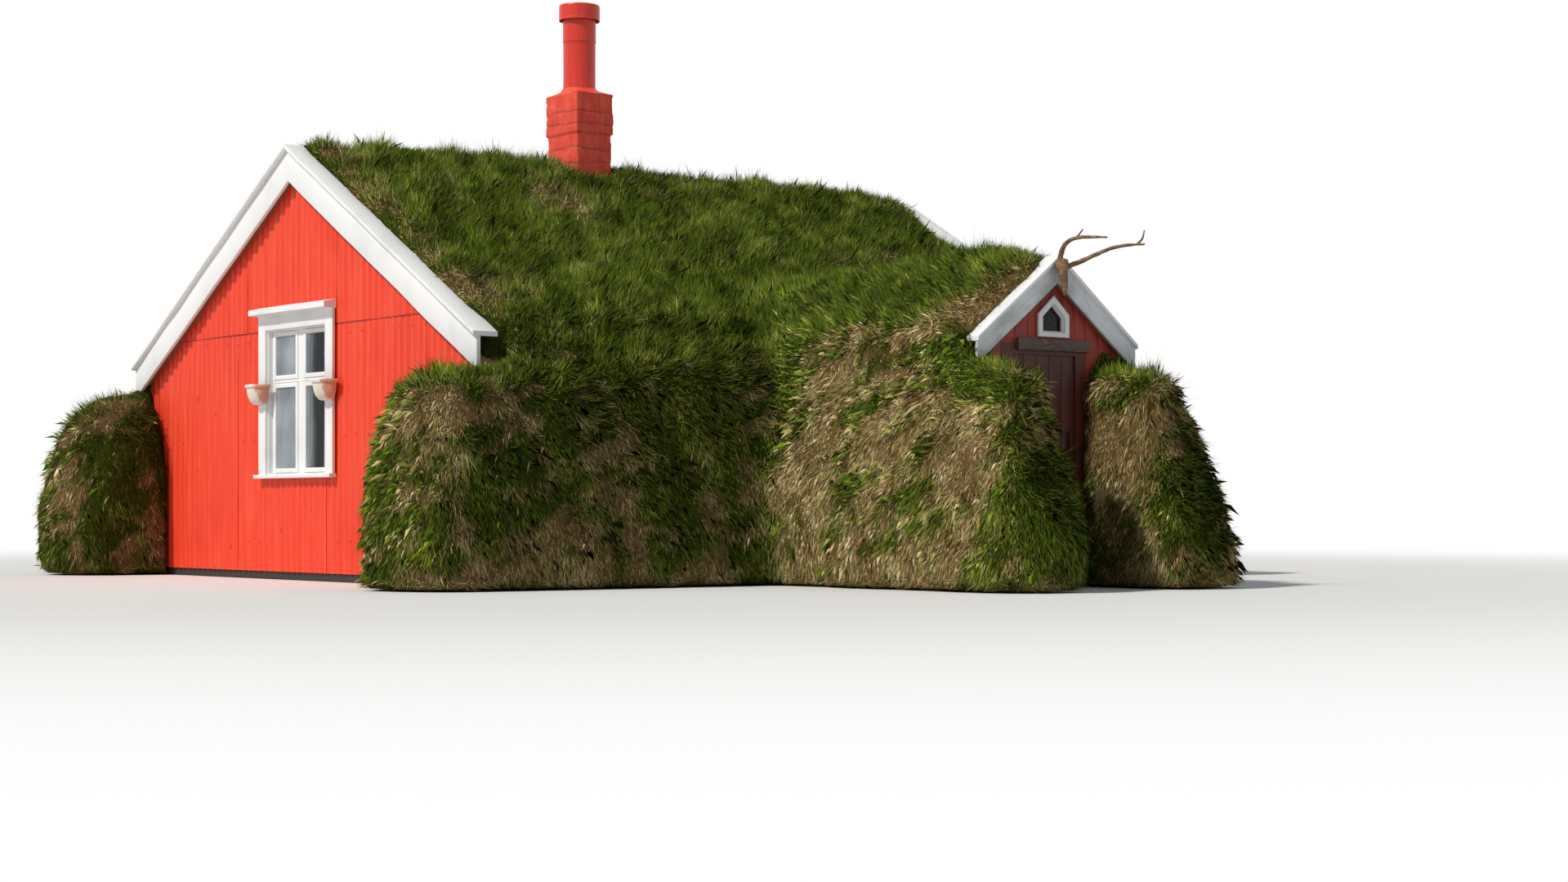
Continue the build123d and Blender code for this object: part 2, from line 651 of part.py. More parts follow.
def door_hinges():
    """Two barrels with their plates on the inner face of the frame."""
    x, y = hinge_axis()
    hinges = []
    for height in HINGE_HEIGHTS:
        barrel = Pos(x, y, height) * Cylinder(PIN_RADIUS, PIN_LENGTH)
        plate = block((x - 60, -PORCH_WALL_BACK, height - 40), (x, -PORCH_WALL_BACK + 4, height + 40))
        hinges.append((barrel + plate).solid())
    return Compound(hinges)


def door_fittings():
    """Strap plates inside the leaf and a bent pull outside it."""
    inner = -PORCH_WALL_BACK - LEAF_INSET
    x0 = PASSAGE_X - DOOR_HALF + LEAF_GAP + 4
    pieces = []
    for height in HINGE_HEIGHTS:
        pieces.append(block((x0, inner, height - STRAP_SIZE[2] / 2),
                            (x0 + STRAP_SIZE[0], inner + STRAP_SIZE[1], height + STRAP_SIZE[2] / 2)))
    outer = inner - LEAF_THICK
    x = PASSAGE_X + DOOR_HALF - PULL_INSET
    reach, high, wide = PULL_SIZE
    bend = reach - PULL_SHEET
    bow = [(outer, 0), (outer - bend, 0), (outer - reach, 10), (outer - reach, high - 10),
           (outer - bend, high), (outer, high), (outer, high - PULL_SHEET),
           (outer - bend + 4, high - PULL_SHEET), (outer - bend, high - 13), (outer - bend, 13),
           (outer - bend + 4, PULL_SHEET), (outer, PULL_SHEET)]
    pieces.append(across([(y, PULL_HEIGHT + z) for y, z in bow], x - wide / 2, x + wide / 2))
    return Compound(pieces)


# Reindeer antlers at the porch's peak. Each place is measured from the middle of the skull's top,
# with the radius there; the skull's sections have their half width and half depth.

ANTLER_BASE = (PORCH_X - 20, -PORCH_FACE - 56, 2300)
LEFT_BEAM = ((-15, 10, 0, 20), (-60, -70, 105, 17), (-105, -190, 135, 15), (-130, -320, 128, 13),
             (-150, -460, 118, 11), (-160, -600, 108, 6))
RIGHT_BEAM = ((40, 10, -40, 20), (90, -110, 0, 17), (130, -230, 45, 15), (170, -340, 80, 13),
              (215, -450, 92, 11), (250, -560, 90, 6))
LEFT_TINE = ((-80, -110, 115, 10), (-50, -190, 150, 8), (-30, -240, 205, 4))
RIGHT_TINE = ((232, -500, 92, 9), (255, -530, 130, 8), (262, -545, 190, 4))
SKULL_SECTIONS = ((0, 0, 18, 46, 32), (0, 0, -45, 52, 38), (8, -12, -130, 34, 26), (12, -18, -245, 16, 14))


def tapered(points):
    """Five-sided bar through the places, thinner along its length."""
    places = [Vector(*ANTLER_BASE) + Vector(*p[:3]) for p in points]
    rings = []
    for i, place in enumerate(places):
        facing = (places[min(i + 1, len(places) - 1)] - places[max(i - 1, 0)]).normalized()
        rings.append(ring(place, facing, points[i][3], points[i][3], 5))
    return faceted(rings)


def porch_antlers():
    antlers = faceted([ring(Vector(*ANTLER_BASE) + Vector(x, y, z), Vector(0, 0, 1), wide, deep, 8)
                       for x, y, z, wide, deep in SKULL_SECTIONS])
    for beam in (LEFT_BEAM, RIGHT_BEAM, RIGHT_TINE, LEFT_TINE):
        antlers += tapered(beam)
    return antlers - porch_verge_caps() - porch_barges()


NODES = {
    "main_floor": main_floor, "front_board_walls": front_board_walls, "front_lintel": front_lintel,
    "back_board_wall": back_board_wall,
    "left_gable_sheets": left_gable_sheets, "right_gable_sheets": right_gable_sheets,
    "turf_wall_front_left": turf_wall_front_left, "turf_wall_front_right": turf_wall_front_right,
    "turf_wall_back": turf_wall_back, "turf_roof_front": turf_roof_front, "turf_roof_back": turf_roof_back,
    "roof_boards_front": roof_boards_front, "roof_boards_back": roof_boards_back,
    "chimney_stack": chimney_stack, "flue_pipe": flue_pipe, "flue_cowl": flue_cowl,
    "window_curtains": window_curtains, "window_pots": window_pots,
    "porch_floor": porch_floor, "porch_turf_left": lambda: flank_side(-1),
    "porch_turf_right": lambda: flank_side(1), "porch_turf_roof": porch_turf_roof,
    "porch_roof_boards": porch_roof_boards, "porch_gable_wall": porch_gable_wall,
    "porch_barges": porch_barges, "porch_verge_caps": porch_verge_caps,
    "porch_window_casing": porch_window_casing, "porch_window_glass": porch_window_glass,
    "porch_sign": porch_sign, "door_frame": door_frame, "door_leaf": door_leaf,
    "door_fittings": door_fittings, "door_hinges": door_hinges, "porch_antlers": porch_antlers,
}
# Both gables carry these pieces, the right one's mirrored
GABLE_NODES = {
    "gable_wall": gable_wall, "gable_barges": barges, "verge_caps": verge_caps,
    "window_casing": window_casing, "window_sash": window_sash, "window_glass": window_glass,
}

os.makedirs("parts", exist_ok=True)
for name, make in NODES.items():
    export_step(make(), f"parts/{name}.step")
for name, make in GABLE_NODES.items():
    export_step(make(), f"parts/left_{name}.step")
    export_step(other_end(make()), f"parts/right_{name}.step")
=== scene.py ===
import bmesh
import bpy
import math
import numpy as np
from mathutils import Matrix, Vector
from mathutils.bvhtree import BVHTree


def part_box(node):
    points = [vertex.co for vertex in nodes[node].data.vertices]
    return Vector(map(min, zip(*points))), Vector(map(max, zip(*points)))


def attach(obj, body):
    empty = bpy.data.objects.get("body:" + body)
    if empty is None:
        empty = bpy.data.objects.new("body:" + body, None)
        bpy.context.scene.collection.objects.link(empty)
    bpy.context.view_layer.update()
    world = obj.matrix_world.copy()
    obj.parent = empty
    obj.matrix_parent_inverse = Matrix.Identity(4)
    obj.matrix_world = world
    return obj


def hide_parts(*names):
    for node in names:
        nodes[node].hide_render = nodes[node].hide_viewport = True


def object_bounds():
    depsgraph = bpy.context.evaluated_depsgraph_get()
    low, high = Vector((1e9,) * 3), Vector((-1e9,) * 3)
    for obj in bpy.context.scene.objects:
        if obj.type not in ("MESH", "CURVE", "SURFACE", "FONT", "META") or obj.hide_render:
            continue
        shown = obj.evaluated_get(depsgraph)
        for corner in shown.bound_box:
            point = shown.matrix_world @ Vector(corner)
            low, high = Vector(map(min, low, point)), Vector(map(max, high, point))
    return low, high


# A turf house: painted timber and corrugated gables between walls and roofs of grassy turf.
# Metres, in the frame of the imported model. The ridge runs along X and the porch looks to -Y.

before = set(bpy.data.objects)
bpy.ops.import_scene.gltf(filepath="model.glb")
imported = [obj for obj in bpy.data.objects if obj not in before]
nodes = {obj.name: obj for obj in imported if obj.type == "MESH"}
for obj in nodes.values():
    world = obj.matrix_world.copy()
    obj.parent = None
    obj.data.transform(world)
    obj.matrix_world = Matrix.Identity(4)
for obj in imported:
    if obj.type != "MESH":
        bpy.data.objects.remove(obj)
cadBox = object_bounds()
sideNames = {-1: "left", 1: "right"}  # the two gables, by the sign of X
print("stage 1: frame loaded,", len(nodes), "nodes")


# Small tools

def span(node):
    low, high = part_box(node)
    return np.array(low), np.array(high)


def unit(vectors):
    vectors = np.asarray(vectors, float)
    return vectors / np.maximum(np.linalg.norm(vectors, axis=-1, keepdims=True), 1e-9)


def lumps(points, size, seed, octaves=3):
    # Sum of sine waves in random directions; every octave has half the length and half the height.
    draw = np.random.default_rng(seed)
    points = np.asarray(points, float)
    total = np.zeros(points.shape[:-1])
    for octave in range(octaves):
        for _ in range(5):
            direction = unit(draw.normal(size=3))
            pace = 2 * np.pi * 2 ** octave / (size * draw.uniform(0.7, 1.4))
            total += np.sin(points @ direction * pace + draw.uniform(0, 2 * np.pi)) * 0.5 ** octave
    return total / 3.2


def smooth(low, high, values):
    # 0 under low, 1 over high, and a soft step between them.
    share = np.clip((np.asarray(values, float) - low) / (high - low), 0, 1)
    return share * share * (3 - 2 * share)


def bareMesh(name, points, corners, starts):
    # Faces are runs of corners; each begins where starts says.
    mesh = bpy.data.meshes.new(name)
    mesh.vertices.add(len(points))
    mesh.vertices.foreach_set("co", points.astype(np.float32).ravel())
    mesh.loops.add(len(corners))
    mesh.loops.foreach_set("vertex_index", corners.astype(np.int32))
    mesh.polygons.add(len(starts))
    mesh.polygons.foreach_set("loop_start", starts.astype(np.int32))
    mesh.update(calc_edges=True)
    return mesh


def addValues(mesh, name, values):
    # One number, or a row of three, for every point.
    kind, field = ("FLOAT", "value") if values.ndim == 1 else ("FLOAT_VECTOR", "vector")
    made = mesh.attributes.new(name, kind, "POINT")
    made.data.foreach_set(field, values.astype(np.float32).ravel())


class Stock:  # gathers points and faces of one piece
    def __init__(self):
        self.points, self.quads, self.tris, self.grain, self.tone, self.count = [], [], [], [], [], 0

    def add(self, points, quads, tris=None, grain=None, tone=0.5):
        points = np.asarray(points, float).reshape(-1, 3)
        self.points.append(points)
        self.quads.append(np.asarray(quads, int).reshape(-1, 4) + self.count)
        self.tris.append(np.asarray([] if tris is None else tris, int).reshape(-1, 3) + self.count)
        self.grain.append(points if grain is None else np.asarray(grain, float).reshape(-1, 3))
        self.tone.append(np.broadcast_to(np.asarray(tone, float), (len(points),)))
        self.count += len(points)

    def placeOn(self, side):
        # The right gable is the left one turned half round the upright axis.
        if side > 0:
            self.points = [points * (-1, -1, 1) for points in self.points]

    def mesh(self, name, merge=0.0, sharp=50):
        points, quads, tris = (np.concatenate(part) for part in (self.points, self.quads, self.tris))
        starts = np.concatenate([np.arange(len(quads)) * 4, len(quads) * 4 + np.arange(len(tris)) * 3])
        mesh = bareMesh(name, points, np.concatenate([quads.ravel(), tris.ravel()]), starts)
        addValues(mesh, "grain", np.concatenate(self.grain))
        addValues(mesh, "tone", np.concatenate(self.tone))
        if merge:
            work = bmesh.new()
            work.from_mesh(mesh)
            bmesh.ops.remove_doubles(work, verts=work.verts, dist=merge)
            bmesh.ops.dissolve_degenerate(work, edges=work.edges, dist=merge)
            work.to_mesh(mesh)
            work.free()
        mesh.polygons.foreach_set("use_smooth", np.ones(len(mesh.polygons), bool))
        mesh.set_sharp_from_angle(angle=math.radians(sharp))
        return mesh


def finishPiece(name, made, look, slot, *replaced, body="house", **meshing):
    # A mesh, or the stock that one is made of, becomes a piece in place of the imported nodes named.
    mesh = made.mesh(name, **meshing) if isinstance(made, Stock) else made
    piece = bpy.data.objects.new(name, mesh)
    bpy.context.scene.collection.objects.link(piece)
    mesh.materials.append(looks[look])
    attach(piece, body)
    if replaced:
        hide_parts(*replaced)
    return piece


def ringQuads(rows, columns, closed=True):
    # Quads of a grid of rows and columns, facing out when the columns run anticlockwise round the rows' axis.
    across = np.arange(columns if closed else columns - 1)
    row, column = np.meshgrid(np.arange(rows - 1), across, indexing="ij")
    after = (column + 1) % columns
    return np.stack([row * columns + column, row * columns + after,
                     (row + 1) * columns + after, (row + 1) * columns + column], -1).reshape(-1, 4)


def carry(stock, outline, a, b, broad, endA=None, endB=None, wave=0.0, seed=0, stations=0):
    # A closed outline (across, deep) carried straight from a to b. Each end is cut by a plane whose normal is
    # given, and every point moves off the straight line by a little noise.
    a, b, outline = np.asarray(a, float), np.asarray(b, float), np.asarray(outline, float)
    length = np.linalg.norm(b - a)
    axis = (b - a) / length
    broad = unit(np.asarray(broad, float) - axis * np.dot(broad, axis))
    deep = np.cross(axis, broad)
    offset = outline[:, :1] * broad + outline[:, 1:] * deep
    ends = []
    for place, normal in ((a, endA), (b, endB)):
        normal = axis if normal is None else unit(normal)
        ends.append(place + offset - axis * (offset @ normal / (axis @ normal))[:, None])
    stations = stations or max(2, int(length / 0.25) + 1)
    share = np.linspace(0, 1, stations)[:, None, None]
    points = ends[0] * (1 - share) + ends[1] * share
    draw = np.random.default_rng(seed)
    if wave:
        line = a + (b - a) * share[:, 0]
        points = points + wave * (lumps(line, 0.9, seed, 2)[:, None, None] * broad
                                  + lumps(line, 0.7, seed + 1, 2)[:, None, None] * deep)
    count = len(outline)
    shift = draw.uniform(0, 20, 3)
    grain = np.empty((stations, count, 3))
    grain[..., 0] = share[..., 0] * length + shift[0]
    grain[..., 1] = outline[:, 0] + shift[1]
    grain[..., 2] = outline[:, 1] + shift[2]
    middle = np.array([points[0].mean(0), points[-1].mean(0)])
    middleGrain = np.array([grain[0].mean(0), grain[-1].mean(0)])
    ring = np.arange(count)
    after = (ring + 1) % count
    last = (stations - 1) * count
    caps = np.concatenate([np.stack([np.full(count, stations * count), after, ring], -1),
                           np.stack([np.full(count, stations * count + 1), last + ring, last + after], -1)])
    stock.add(np.concatenate([points.reshape(-1, 3), middle]), ringQuads(stations, count), caps,
              np.concatenate([grain.reshape(-1, 3), middleGrain]), draw.uniform())


def roundedBar(width, thick, corner):
    # A rectangle with three points round each corner.
    turns = np.radians(np.array([0, 45, 90]))
    outline = []
    for quarter, (sx, sy) in enumerate(((1, 1), (-1, 1), (-1, -1), (1, -1))):
        for turn in turns:
            outline.append((sx * (width / 2 - corner) + corner * math.cos(turn + quarter * math.pi / 2),
                            sy * (thick / 2 - corner) + corner * math.sin(turn + quarter * math.pi / 2)))
    return outline


def board(stock, a, b, broad, width, thick, corner=0.003, **more):
    carry(stock, roundedBar(width, thick, corner), a, b, broad, **more)


def boxBoard(stock, low, high, along, corner=0.003, **more):
    # A board that fills the box between two corners, its grain along axis 0, 1 or 2.
    low, high = np.minimum(low, high), np.maximum(low, high)
    middle, size = (low + high) / 2, high - low
    wide, thin = [axis for axis in (0, 1, 2) if axis != along]
    a, b, broad = middle.copy(), middle.copy(), np.zeros(3)
    a[along], b[along], broad[wide] = low[along], high[along], 1
    board(stock, a, b, broad, size[wide], size[thin], corner, **more)


def turned(stock, profile, centre, sides, bend):
    # Radius and height carried round the upright axis; bend moves each point along its radius.
    profile = np.asarray(profile, float)
    turn = np.linspace(0, 2 * np.pi, sides, endpoint=False)
    radius, height = np.repeat(profile[:, :1], sides, 1), np.repeat(profile[:, 1:], sides, 1)
    turns = np.repeat(turn[None], len(profile), 0)
    radius = radius + np.where(radius > 1e-6, bend(turns, height), 0)
    points = np.stack([centre[0] + radius * np.cos(turns), centre[1] + radius * np.sin(turns), height], -1)
    stock.add(points, ringQuads(len(profile), sides))


def tube(stock, path, radii, sides=10, rough=0.0, seed=0):
    # A ring carried along a smooth path, each ring square to it; the path's ends close in one point.
    path, radii = np.asarray(path, float), np.asarray(radii, float)
    share = np.linspace(0, 1, len(path))
    fine = np.linspace(0, 1, (len(path) - 1) * 6 + 1)
    centre = curveThrough(path, share, fine)
    radius = np.interp(fine, share, radii)
    centre = np.concatenate([centre[:1], centre, centre[-1:]])
    radius = np.concatenate([[1e-5], radius, [1e-5]])
    heading = unit(np.gradient(centre, axis=0) + 1e-9)
    heading[0], heading[-1] = heading[1], heading[-2]
    side = unit(np.cross(heading, (0.3, 0.1, 0.95)))
    up = np.cross(side, heading)
    turn = np.linspace(0, 2 * np.pi, sides, endpoint=False)
    around = np.cos(turn)[None, :, None] * side[:, None] - np.sin(turn)[None, :, None] * up[:, None]
    points = centre[:, None] + around * radius[:, None, None]
    points += around * (rough * radius[:, None] * lumps(points, 0.05, seed, 2))[..., None]
    grain = np.stack([np.repeat(np.linspace(0, 1, len(centre))[:, None], sides, 1),
                      np.repeat(turn[None] / 6.28, len(centre), 0), np.full((len(centre), sides), seed)], -1)
    stock.add(points, ringQuads(len(centre), sides), grain=grain)


def curveThrough(path, share, fine):
    # Cubic pieces through the points, with slopes taken from each point's neighbours.
    slope = np.gradient(path, share, axis=0)
    index = np.clip(np.searchsorted(share, fine, side="right") - 1, 0, len(share) - 2)
    width = (share[index + 1] - share[index])[:, None]
    t = ((fine - share[index])[:, None]) / width
    return ((2 * t ** 3 - 3 * t ** 2 + 1) * path[index] + (t ** 3 - 2 * t ** 2 + t) * width * slope[index]
            + (3 * t ** 2 - 2 * t ** 3) * path[index + 1] + (t ** 3 - t ** 2) * width * slope[index + 1])


def shell(stock, front, back, grain=None, tone=0.5):
    # Two grids of the same shape joined along their borders, as the two sides of one thin sheet.
    rows, columns = front.shape[:2]
    face = ringQuads(rows, columns, closed=False)
    count = rows * columns
    index = np.arange(count).reshape(rows, columns)
    border = np.concatenate([index[0], index[1:, -1], index[-1, -2::-1], index[-2:0:-1, 0]])
    after = np.roll(border, -1)
    rim = np.stack([border, border + count, after + count, after], -1)
    grain = np.concatenate([front, front]) if grain is None else np.concatenate([grain, grain])
    stock.add(np.concatenate([front.reshape(-1, 3), back.reshape(-1, 3)]),
              np.concatenate([face, face[:, ::-1] + count, rim]), grain=grain.reshape(-1, 3), tone=tone)


# Shader maths

class Wire:  # a socket that Python's operators join to others
    def __init__(self, graph, socket):
        self.graph, self.socket = graph, socket

    def __add__(self, other):
        return self.graph.maths("ADD", self, other)

    def __sub__(self, other):
        return self.graph.maths("SUBTRACT", self, other)

    def __rsub__(self, other):
        return self.graph.maths("SUBTRACT", other, self)

    def __mul__(self, other):
        return self.graph.maths("MULTIPLY", self, other)

    def __truediv__(self, other):
        return self.graph.maths("DIVIDE", self, other)

    __radd__, __rmul__ = __add__, __mul__


class Graph:  # makes and joins the nodes of one node tree
    def __init__(self, tree):
        self.tree = tree

    def node(self, kind, settings=None, inputs=None, output=0):
        made = self.tree.nodes.new(kind)
        settings = dict(settings or {})
        stops = settings.pop("stops", None)
        for name, value in settings.items():
            setattr(made, name, value)
        if stops:
            ramp = made.color_ramp.elements
            while len(ramp) < len(stops):
                ramp.new(1)
            for element, (place, colour) in zip(ramp, stops):
                element.position, element.color = place, tint(colour)
        for name, value in (inputs or {}).items():
            if isinstance(value, Wire):
                self.tree.links.new(value.socket, made.inputs[name])
            else:
                made.inputs[name].default_value = value
        return Wire(self, made.outputs[output])

    def maths(self, operation, a, b=0.0):
        return self.node("ShaderNodeMath", {"operation": operation}, {0: a, 1: b})

    def seenRays(self):
        # 1 for what the camera sees, straight or in gloss and glass.
        straight, mirrored, through = (self.node("ShaderNodeLightPath", output=f"Is {kind} Ray")
                                       for kind in ("Camera", "Glossy", "Transmission"))
        return self.maths("MAXIMUM", self.maths("MAXIMUM", straight, mirrored), through)


class Look(Graph):  # one material: its nodes end in one Principled shader
    def __init__(self, name, **plain):
        self.material = bpy.data.materials.new(name)
        self.material.use_nodes = True
        super().__init__(self.material.node_tree)
        self.shader = self.tree.nodes["Principled BSDF"]
        for socket, value in plain.items():
            self.shader.inputs[socket.replace("_", " ")].default_value = value

    def noise(self, scale, detail=3.0, vector=None, rough=0.5):
        return self.node("ShaderNodeTexNoise", None, {"Scale": scale, "Detail": detail, "Roughness": rough,
                                                      "Vector": vector or self.place()})

    def place(self):
        return self.node("ShaderNodeTexCoord", output="Object")

    def attribute(self, name, output="Vector"):
        return self.node("ShaderNodeAttribute", {"attribute_name": name}, output=output)

    def stretch(self, vector, scale):
        return self.node("ShaderNodeMapping", None, {"Vector": vector, "Scale": scale})

    def split(self, vector):
        return [self.node("ShaderNodeSeparateXYZ", None, {0: vector}, axis) for axis in range(3)]

    def step(self, value, low, high):
        return self.node("ShaderNodeMapRange", {"interpolation_type": "SMOOTHSTEP"},
                         {"Value": value, "From Min": low, "From Max": high})

    def ramp(self, value, *stops):
        return self.node("ShaderNodeValToRGB", {"stops": stops}, {0: value})

    def mix(self, factor, a, b):
        a, b = (tint(colour) if isinstance(colour, tuple) else colour for colour in (a, b))
        return self.node("ShaderNodeMix", {"data_type": "RGBA"}, {0: factor, 6: a, 7: b}, 2)

    def feed(self, socket, value):
        self.tree.links.new(value.socket, self.shader.inputs[socket])

    def bump(self, height, strength, distance):
        self.feed("Normal", self.node("ShaderNodeBump", None, {"Height": height, "Strength": strength,
                                                               "Distance": distance}))


def tint(colour):
    # Colours are written as they look, 0 to 255, and turned into the shader's linear values.
    values = [part / 255 for part in colour]
    return [part / 12.92 if part <= 0.04045 else ((part + 0.055) / 1.055) ** 2.4 for part in values] + [1.0]


# Finishes

def paintedSheetLook():
    # Satin red paint on corrugated iron: streaks down the sheets, scuffs down to dark primer, and a painted
    # shadow line under the lap of the upper course.
    colours = {"paint": (234, 66, 38), "faded": (242, 92, 62), "deep": (214, 49, 30), "scuff": (110, 44, 32)}
    look = Look("redSheet", Roughness=0.42, Specular_IOR_Level=0.35)
    spot = look.place()
    height = look.split(spot)[2]
    streak = look.noise(3.0, 4, look.stretch(spot, (9, 9, 0.5)))
    patch = look.noise(1.3, 3, spot)
    colour = look.mix(look.step(streak, 0.42, 0.7) * 0.55, colours["paint"], colours["faded"])
    colour = look.mix(look.step(patch, 0.5, 0.78) * 0.45, colour, colours["deep"])
    fleck = look.step(look.noise(38, 4, spot, 0.65), 0.68, 0.74)
    speck = fleck * look.step(patch + streak * 0.4, 0.66, 0.78)
    dent = look.step(look.noise(6.5, 2, spot, 0.4), 0.72, 0.77)
    colour = look.mix(speck * 0.7, colour, colours["scuff"])
    colour = look.mix(dent * 0.55, colour, (140, 34, 22))
    # Painted shadow: a dark line just under the foot of the upper course, where its lap would cast shade.
    lapShadowLine = look.step(look.maths("ABSOLUTE", height - 1.974), 0.009, 0.004)
    look.feed("Base Color", look.mix(lapShadowLine * 0.5, colour, (104, 22, 14)))
    look.feed("Roughness", look.noise(6, 3, spot) * 0.22 + 0.3)
    look.bump(look.noise(60, 3, spot) * 0.6 + speck * -0.4 - dent * 1.5, 0.18, 0.002)
    return look.material


def paintedWoodLook(name, paint, shade, bare, dirt, wear, roughness=0.5, grime=0.35):
    # Brushed paint over boards: long grain, a little filth, and worn places where the wood comes through.
    look = Look(name)
    grain = look.attribute("grain")
    tone = look.attribute("tone", "Fac")
    fibre = look.noise(5.0, 5, look.stretch(grain, (1.2, 26, 26)), 0.6)
    patch = look.noise(2.3, 4, look.place())
    flaking = look.noise(9.0, 6, look.stretch(grain, (2.0, 9, 9)), 0.7)
    worn = look.step(flaking + fibre * 0.25, wear, wear + 0.07)
    colour = look.mix(look.step(patch, 0.4, 0.75) * 0.5 + tone * 0.35, paint, shade)
    colour = look.mix(look.step(patch + fibre * 0.5, 0.72, 1.0) * grime, colour, dirt)
    colour = look.mix(worn * 0.8, colour, look.mix(fibre, bare, tuple(int(part * 0.6) for part in bare)))
    look.feed("Base Color", colour)
    look.feed("Roughness", look.noise(7, 3, grain) * 0.2 + (roughness - 0.1) + worn * 0.2)
    look.bump(fibre * 0.5 - worn * 0.8, 0.22, 0.002)
    return look.material


def rawBoardsLook(name, light, dark, pitch, axis):
    # Bare boards laid side by side: dark joints every pitch metres across one axis, grain along the others,
    # and dark near the ground, below a tenth of a metre.
    look = Look(name, Roughness=0.75)
    spot = look.place()
    across = look.split(spot)[axis] / pitch
    number = look.maths("FLOOR", across)
    tone = look.node("ShaderNodeTexWhiteNoise", {"noise_dimensions": "1D"}, {"W": number})
    joint = look.maths("ABSOLUTE", look.maths("FRACT", across) - 0.5)
    gap = look.step(joint, 0.485, 0.497)
    scale = [2.0, 2.0, 2.0]
    scale[axis] = 40.0
    fibre = look.noise(3.0, 5, look.stretch(spot, tuple(scale)), 0.6)
    colour = look.mix(fibre * 0.6 + tone * 0.4, light, dark)
    colour = look.mix(gap, colour, (28, 20, 14))
    look.feed("Base Color", look.mix(look.step(look.split(spot)[2], 0.1, 0.05), colour, (50, 42, 36)))
    look.bump(fibre * 0.3 - gap, 0.3, 0.003)
    return look.material


def masonryPaintLook():
    # Thick red paint over rough blocks: brush lumps, pits, sooty stains running down, and painted shade in
    # the grooves between the courses.
    colours = {"paint": (230, 62, 36), "light": (240, 90, 58), "dark": (150, 28, 16)}
    look = Look("chimneyPaint")
    spot = look.place()
    coarse, fine = look.noise(9, 5, spot, 0.6), look.noise(55, 4, spot, 0.6)
    run = look.noise(4, 3, look.stretch(spot, (8, 8, 0.8)))
    colour = look.mix(look.step(coarse, 0.38, 0.68), colours["paint"], colours["light"])
    colour = look.mix(look.step(run, 0.5, 0.75) * 0.45, colour, colours["dark"])
    # Painted shade: the tone attribute holds how deep a course groove is there, and the paint darkens with
    # it.
    look.feed("Base Color", look.mix(look.attribute("tone", "Fac"), colour, (70, 14, 10)))
    look.feed("Roughness", coarse * 0.25 + 0.42)
    look.bump(coarse * 0.8 + fine * 0.5, 0.5, 0.006)
    return look.material


def fluePaintLook():
    # Satin red paint on sheet metal with thin dark runs and paler patches.
    look = Look("fluePaint")
    spot = look.place()
    run = look.noise(5, 4, look.stretch(spot, (10, 10, 0.7)))
    patch = look.noise(6, 4, spot)
    colour = look.mix(look.step(run, 0.45, 0.72) * 0.5, (226, 54, 32), (186, 36, 22))
    look.feed("Base Color", look.mix(look.step(patch, 0.6, 0.75) * 0.35, colour, (238, 98, 70)))
    look.feed("Roughness", patch * 0.25 + 0.25)
    look.bump(look.noise(40, 2, spot) * 0.4 + patch, 0.12, 0.004)
    return look.material


def turfLook():
    # Matted roots and thatch under the blades: soil in the hollows, moss green and dry straw above.
    look = Look("turfSkin", Roughness=0.95, Specular_IOR_Level=0.05)
    spot = look.place()
    straw = look.attribute("tone", "Fac")
    clump, thread = look.noise(9, 5, spot, 0.65), look.noise(70, 4, look.stretch(spot, (1, 1, 0.35)), 0.7)
    green = look.mix(clump, (32, 38, 8), (62, 72, 14))
    dry = look.mix(thread, (60, 46, 26), (140, 112, 74))
    colour = look.mix(look.step(straw + clump * 0.5 - 0.25, 0.3, 0.7), green, dry)
    hollow = look.step(thread * 0.5 + clump * 0.5, 0.5, 0.34) * 0.75
    look.feed("Base Color", look.mix(hollow, colour, (36, 26, 16)))
    look.bump(clump + thread * 0.7, 0.9, 0.03)
    return look.material


def bladeLook():
    # One colour for each blade: greens that differ by tuft, straw in the dry patches, and painted shade
    # darkening it towards the root.
    look = Look("grassBlades", Roughness=0.7, Specular_IOR_Level=0.08)
    tone, along, straw = look.split(look.attribute("blade"))
    green = look.ramp(tone, (0.0, (37, 56, 3)), (0.45, (74, 105, 7)), (0.8, (117, 144, 19)),
                      (1.0, (188, 186, 72)))
    dry = look.ramp(tone, (0.0, (92, 67, 32)), (0.4, (198, 161, 104)), (1.0, (253, 232, 188)))
    colour = look.mix(straw, green, dry)
    # Painted shade: the lower part of each blade turns dark brown towards the root, as if shaded by the
    # sward.
    look.feed("Base Color", look.mix(look.step(along, 0.6, 0.0) * 0.45, colour, (34, 28, 16)))
    return look.material


def glassLook():
    # Pale with reflected sky on one side of the gable's middle, clear and dark on the other.
    look = Look("windowGlass", Roughness=0.04, IOR=1.5)
    pale = look.step(look.split(look.place())[1] + look.noise(3, 3) * 0.12, -0.20, 0.02)
    sky = look.mix(look.step(look.noise(3.5, 1), 0.3, 0.7), (140, 153, 163), (180, 191, 199))
    look.feed("Base Color", look.mix(pale, (20, 28, 36), sky))
    look.feed("Alpha", pale * 0.2 + 0.28)
    look.bump(look.noise(2.5, 2), 0.05, 0.01)
    return look.material


def clothLook():
    # Thin woven curtain: threads both ways from its own map, pale with a blue cast.
    look = Look("curtainCloth", Roughness=0.85)
    across, down, _ = look.split(look.attribute("grain"))
    weave = look.maths("SINE", across * 2400) * look.maths("SINE", down * 2400)
    band = look.noise(3.0, 3, look.attribute("grain"))
    look.feed("Base Color", look.mix(band * 0.8 + weave * 0.06, (238, 241, 243), (188, 196, 206)))
    look.bump(weave, 0.15, 0.001)
    return look.material


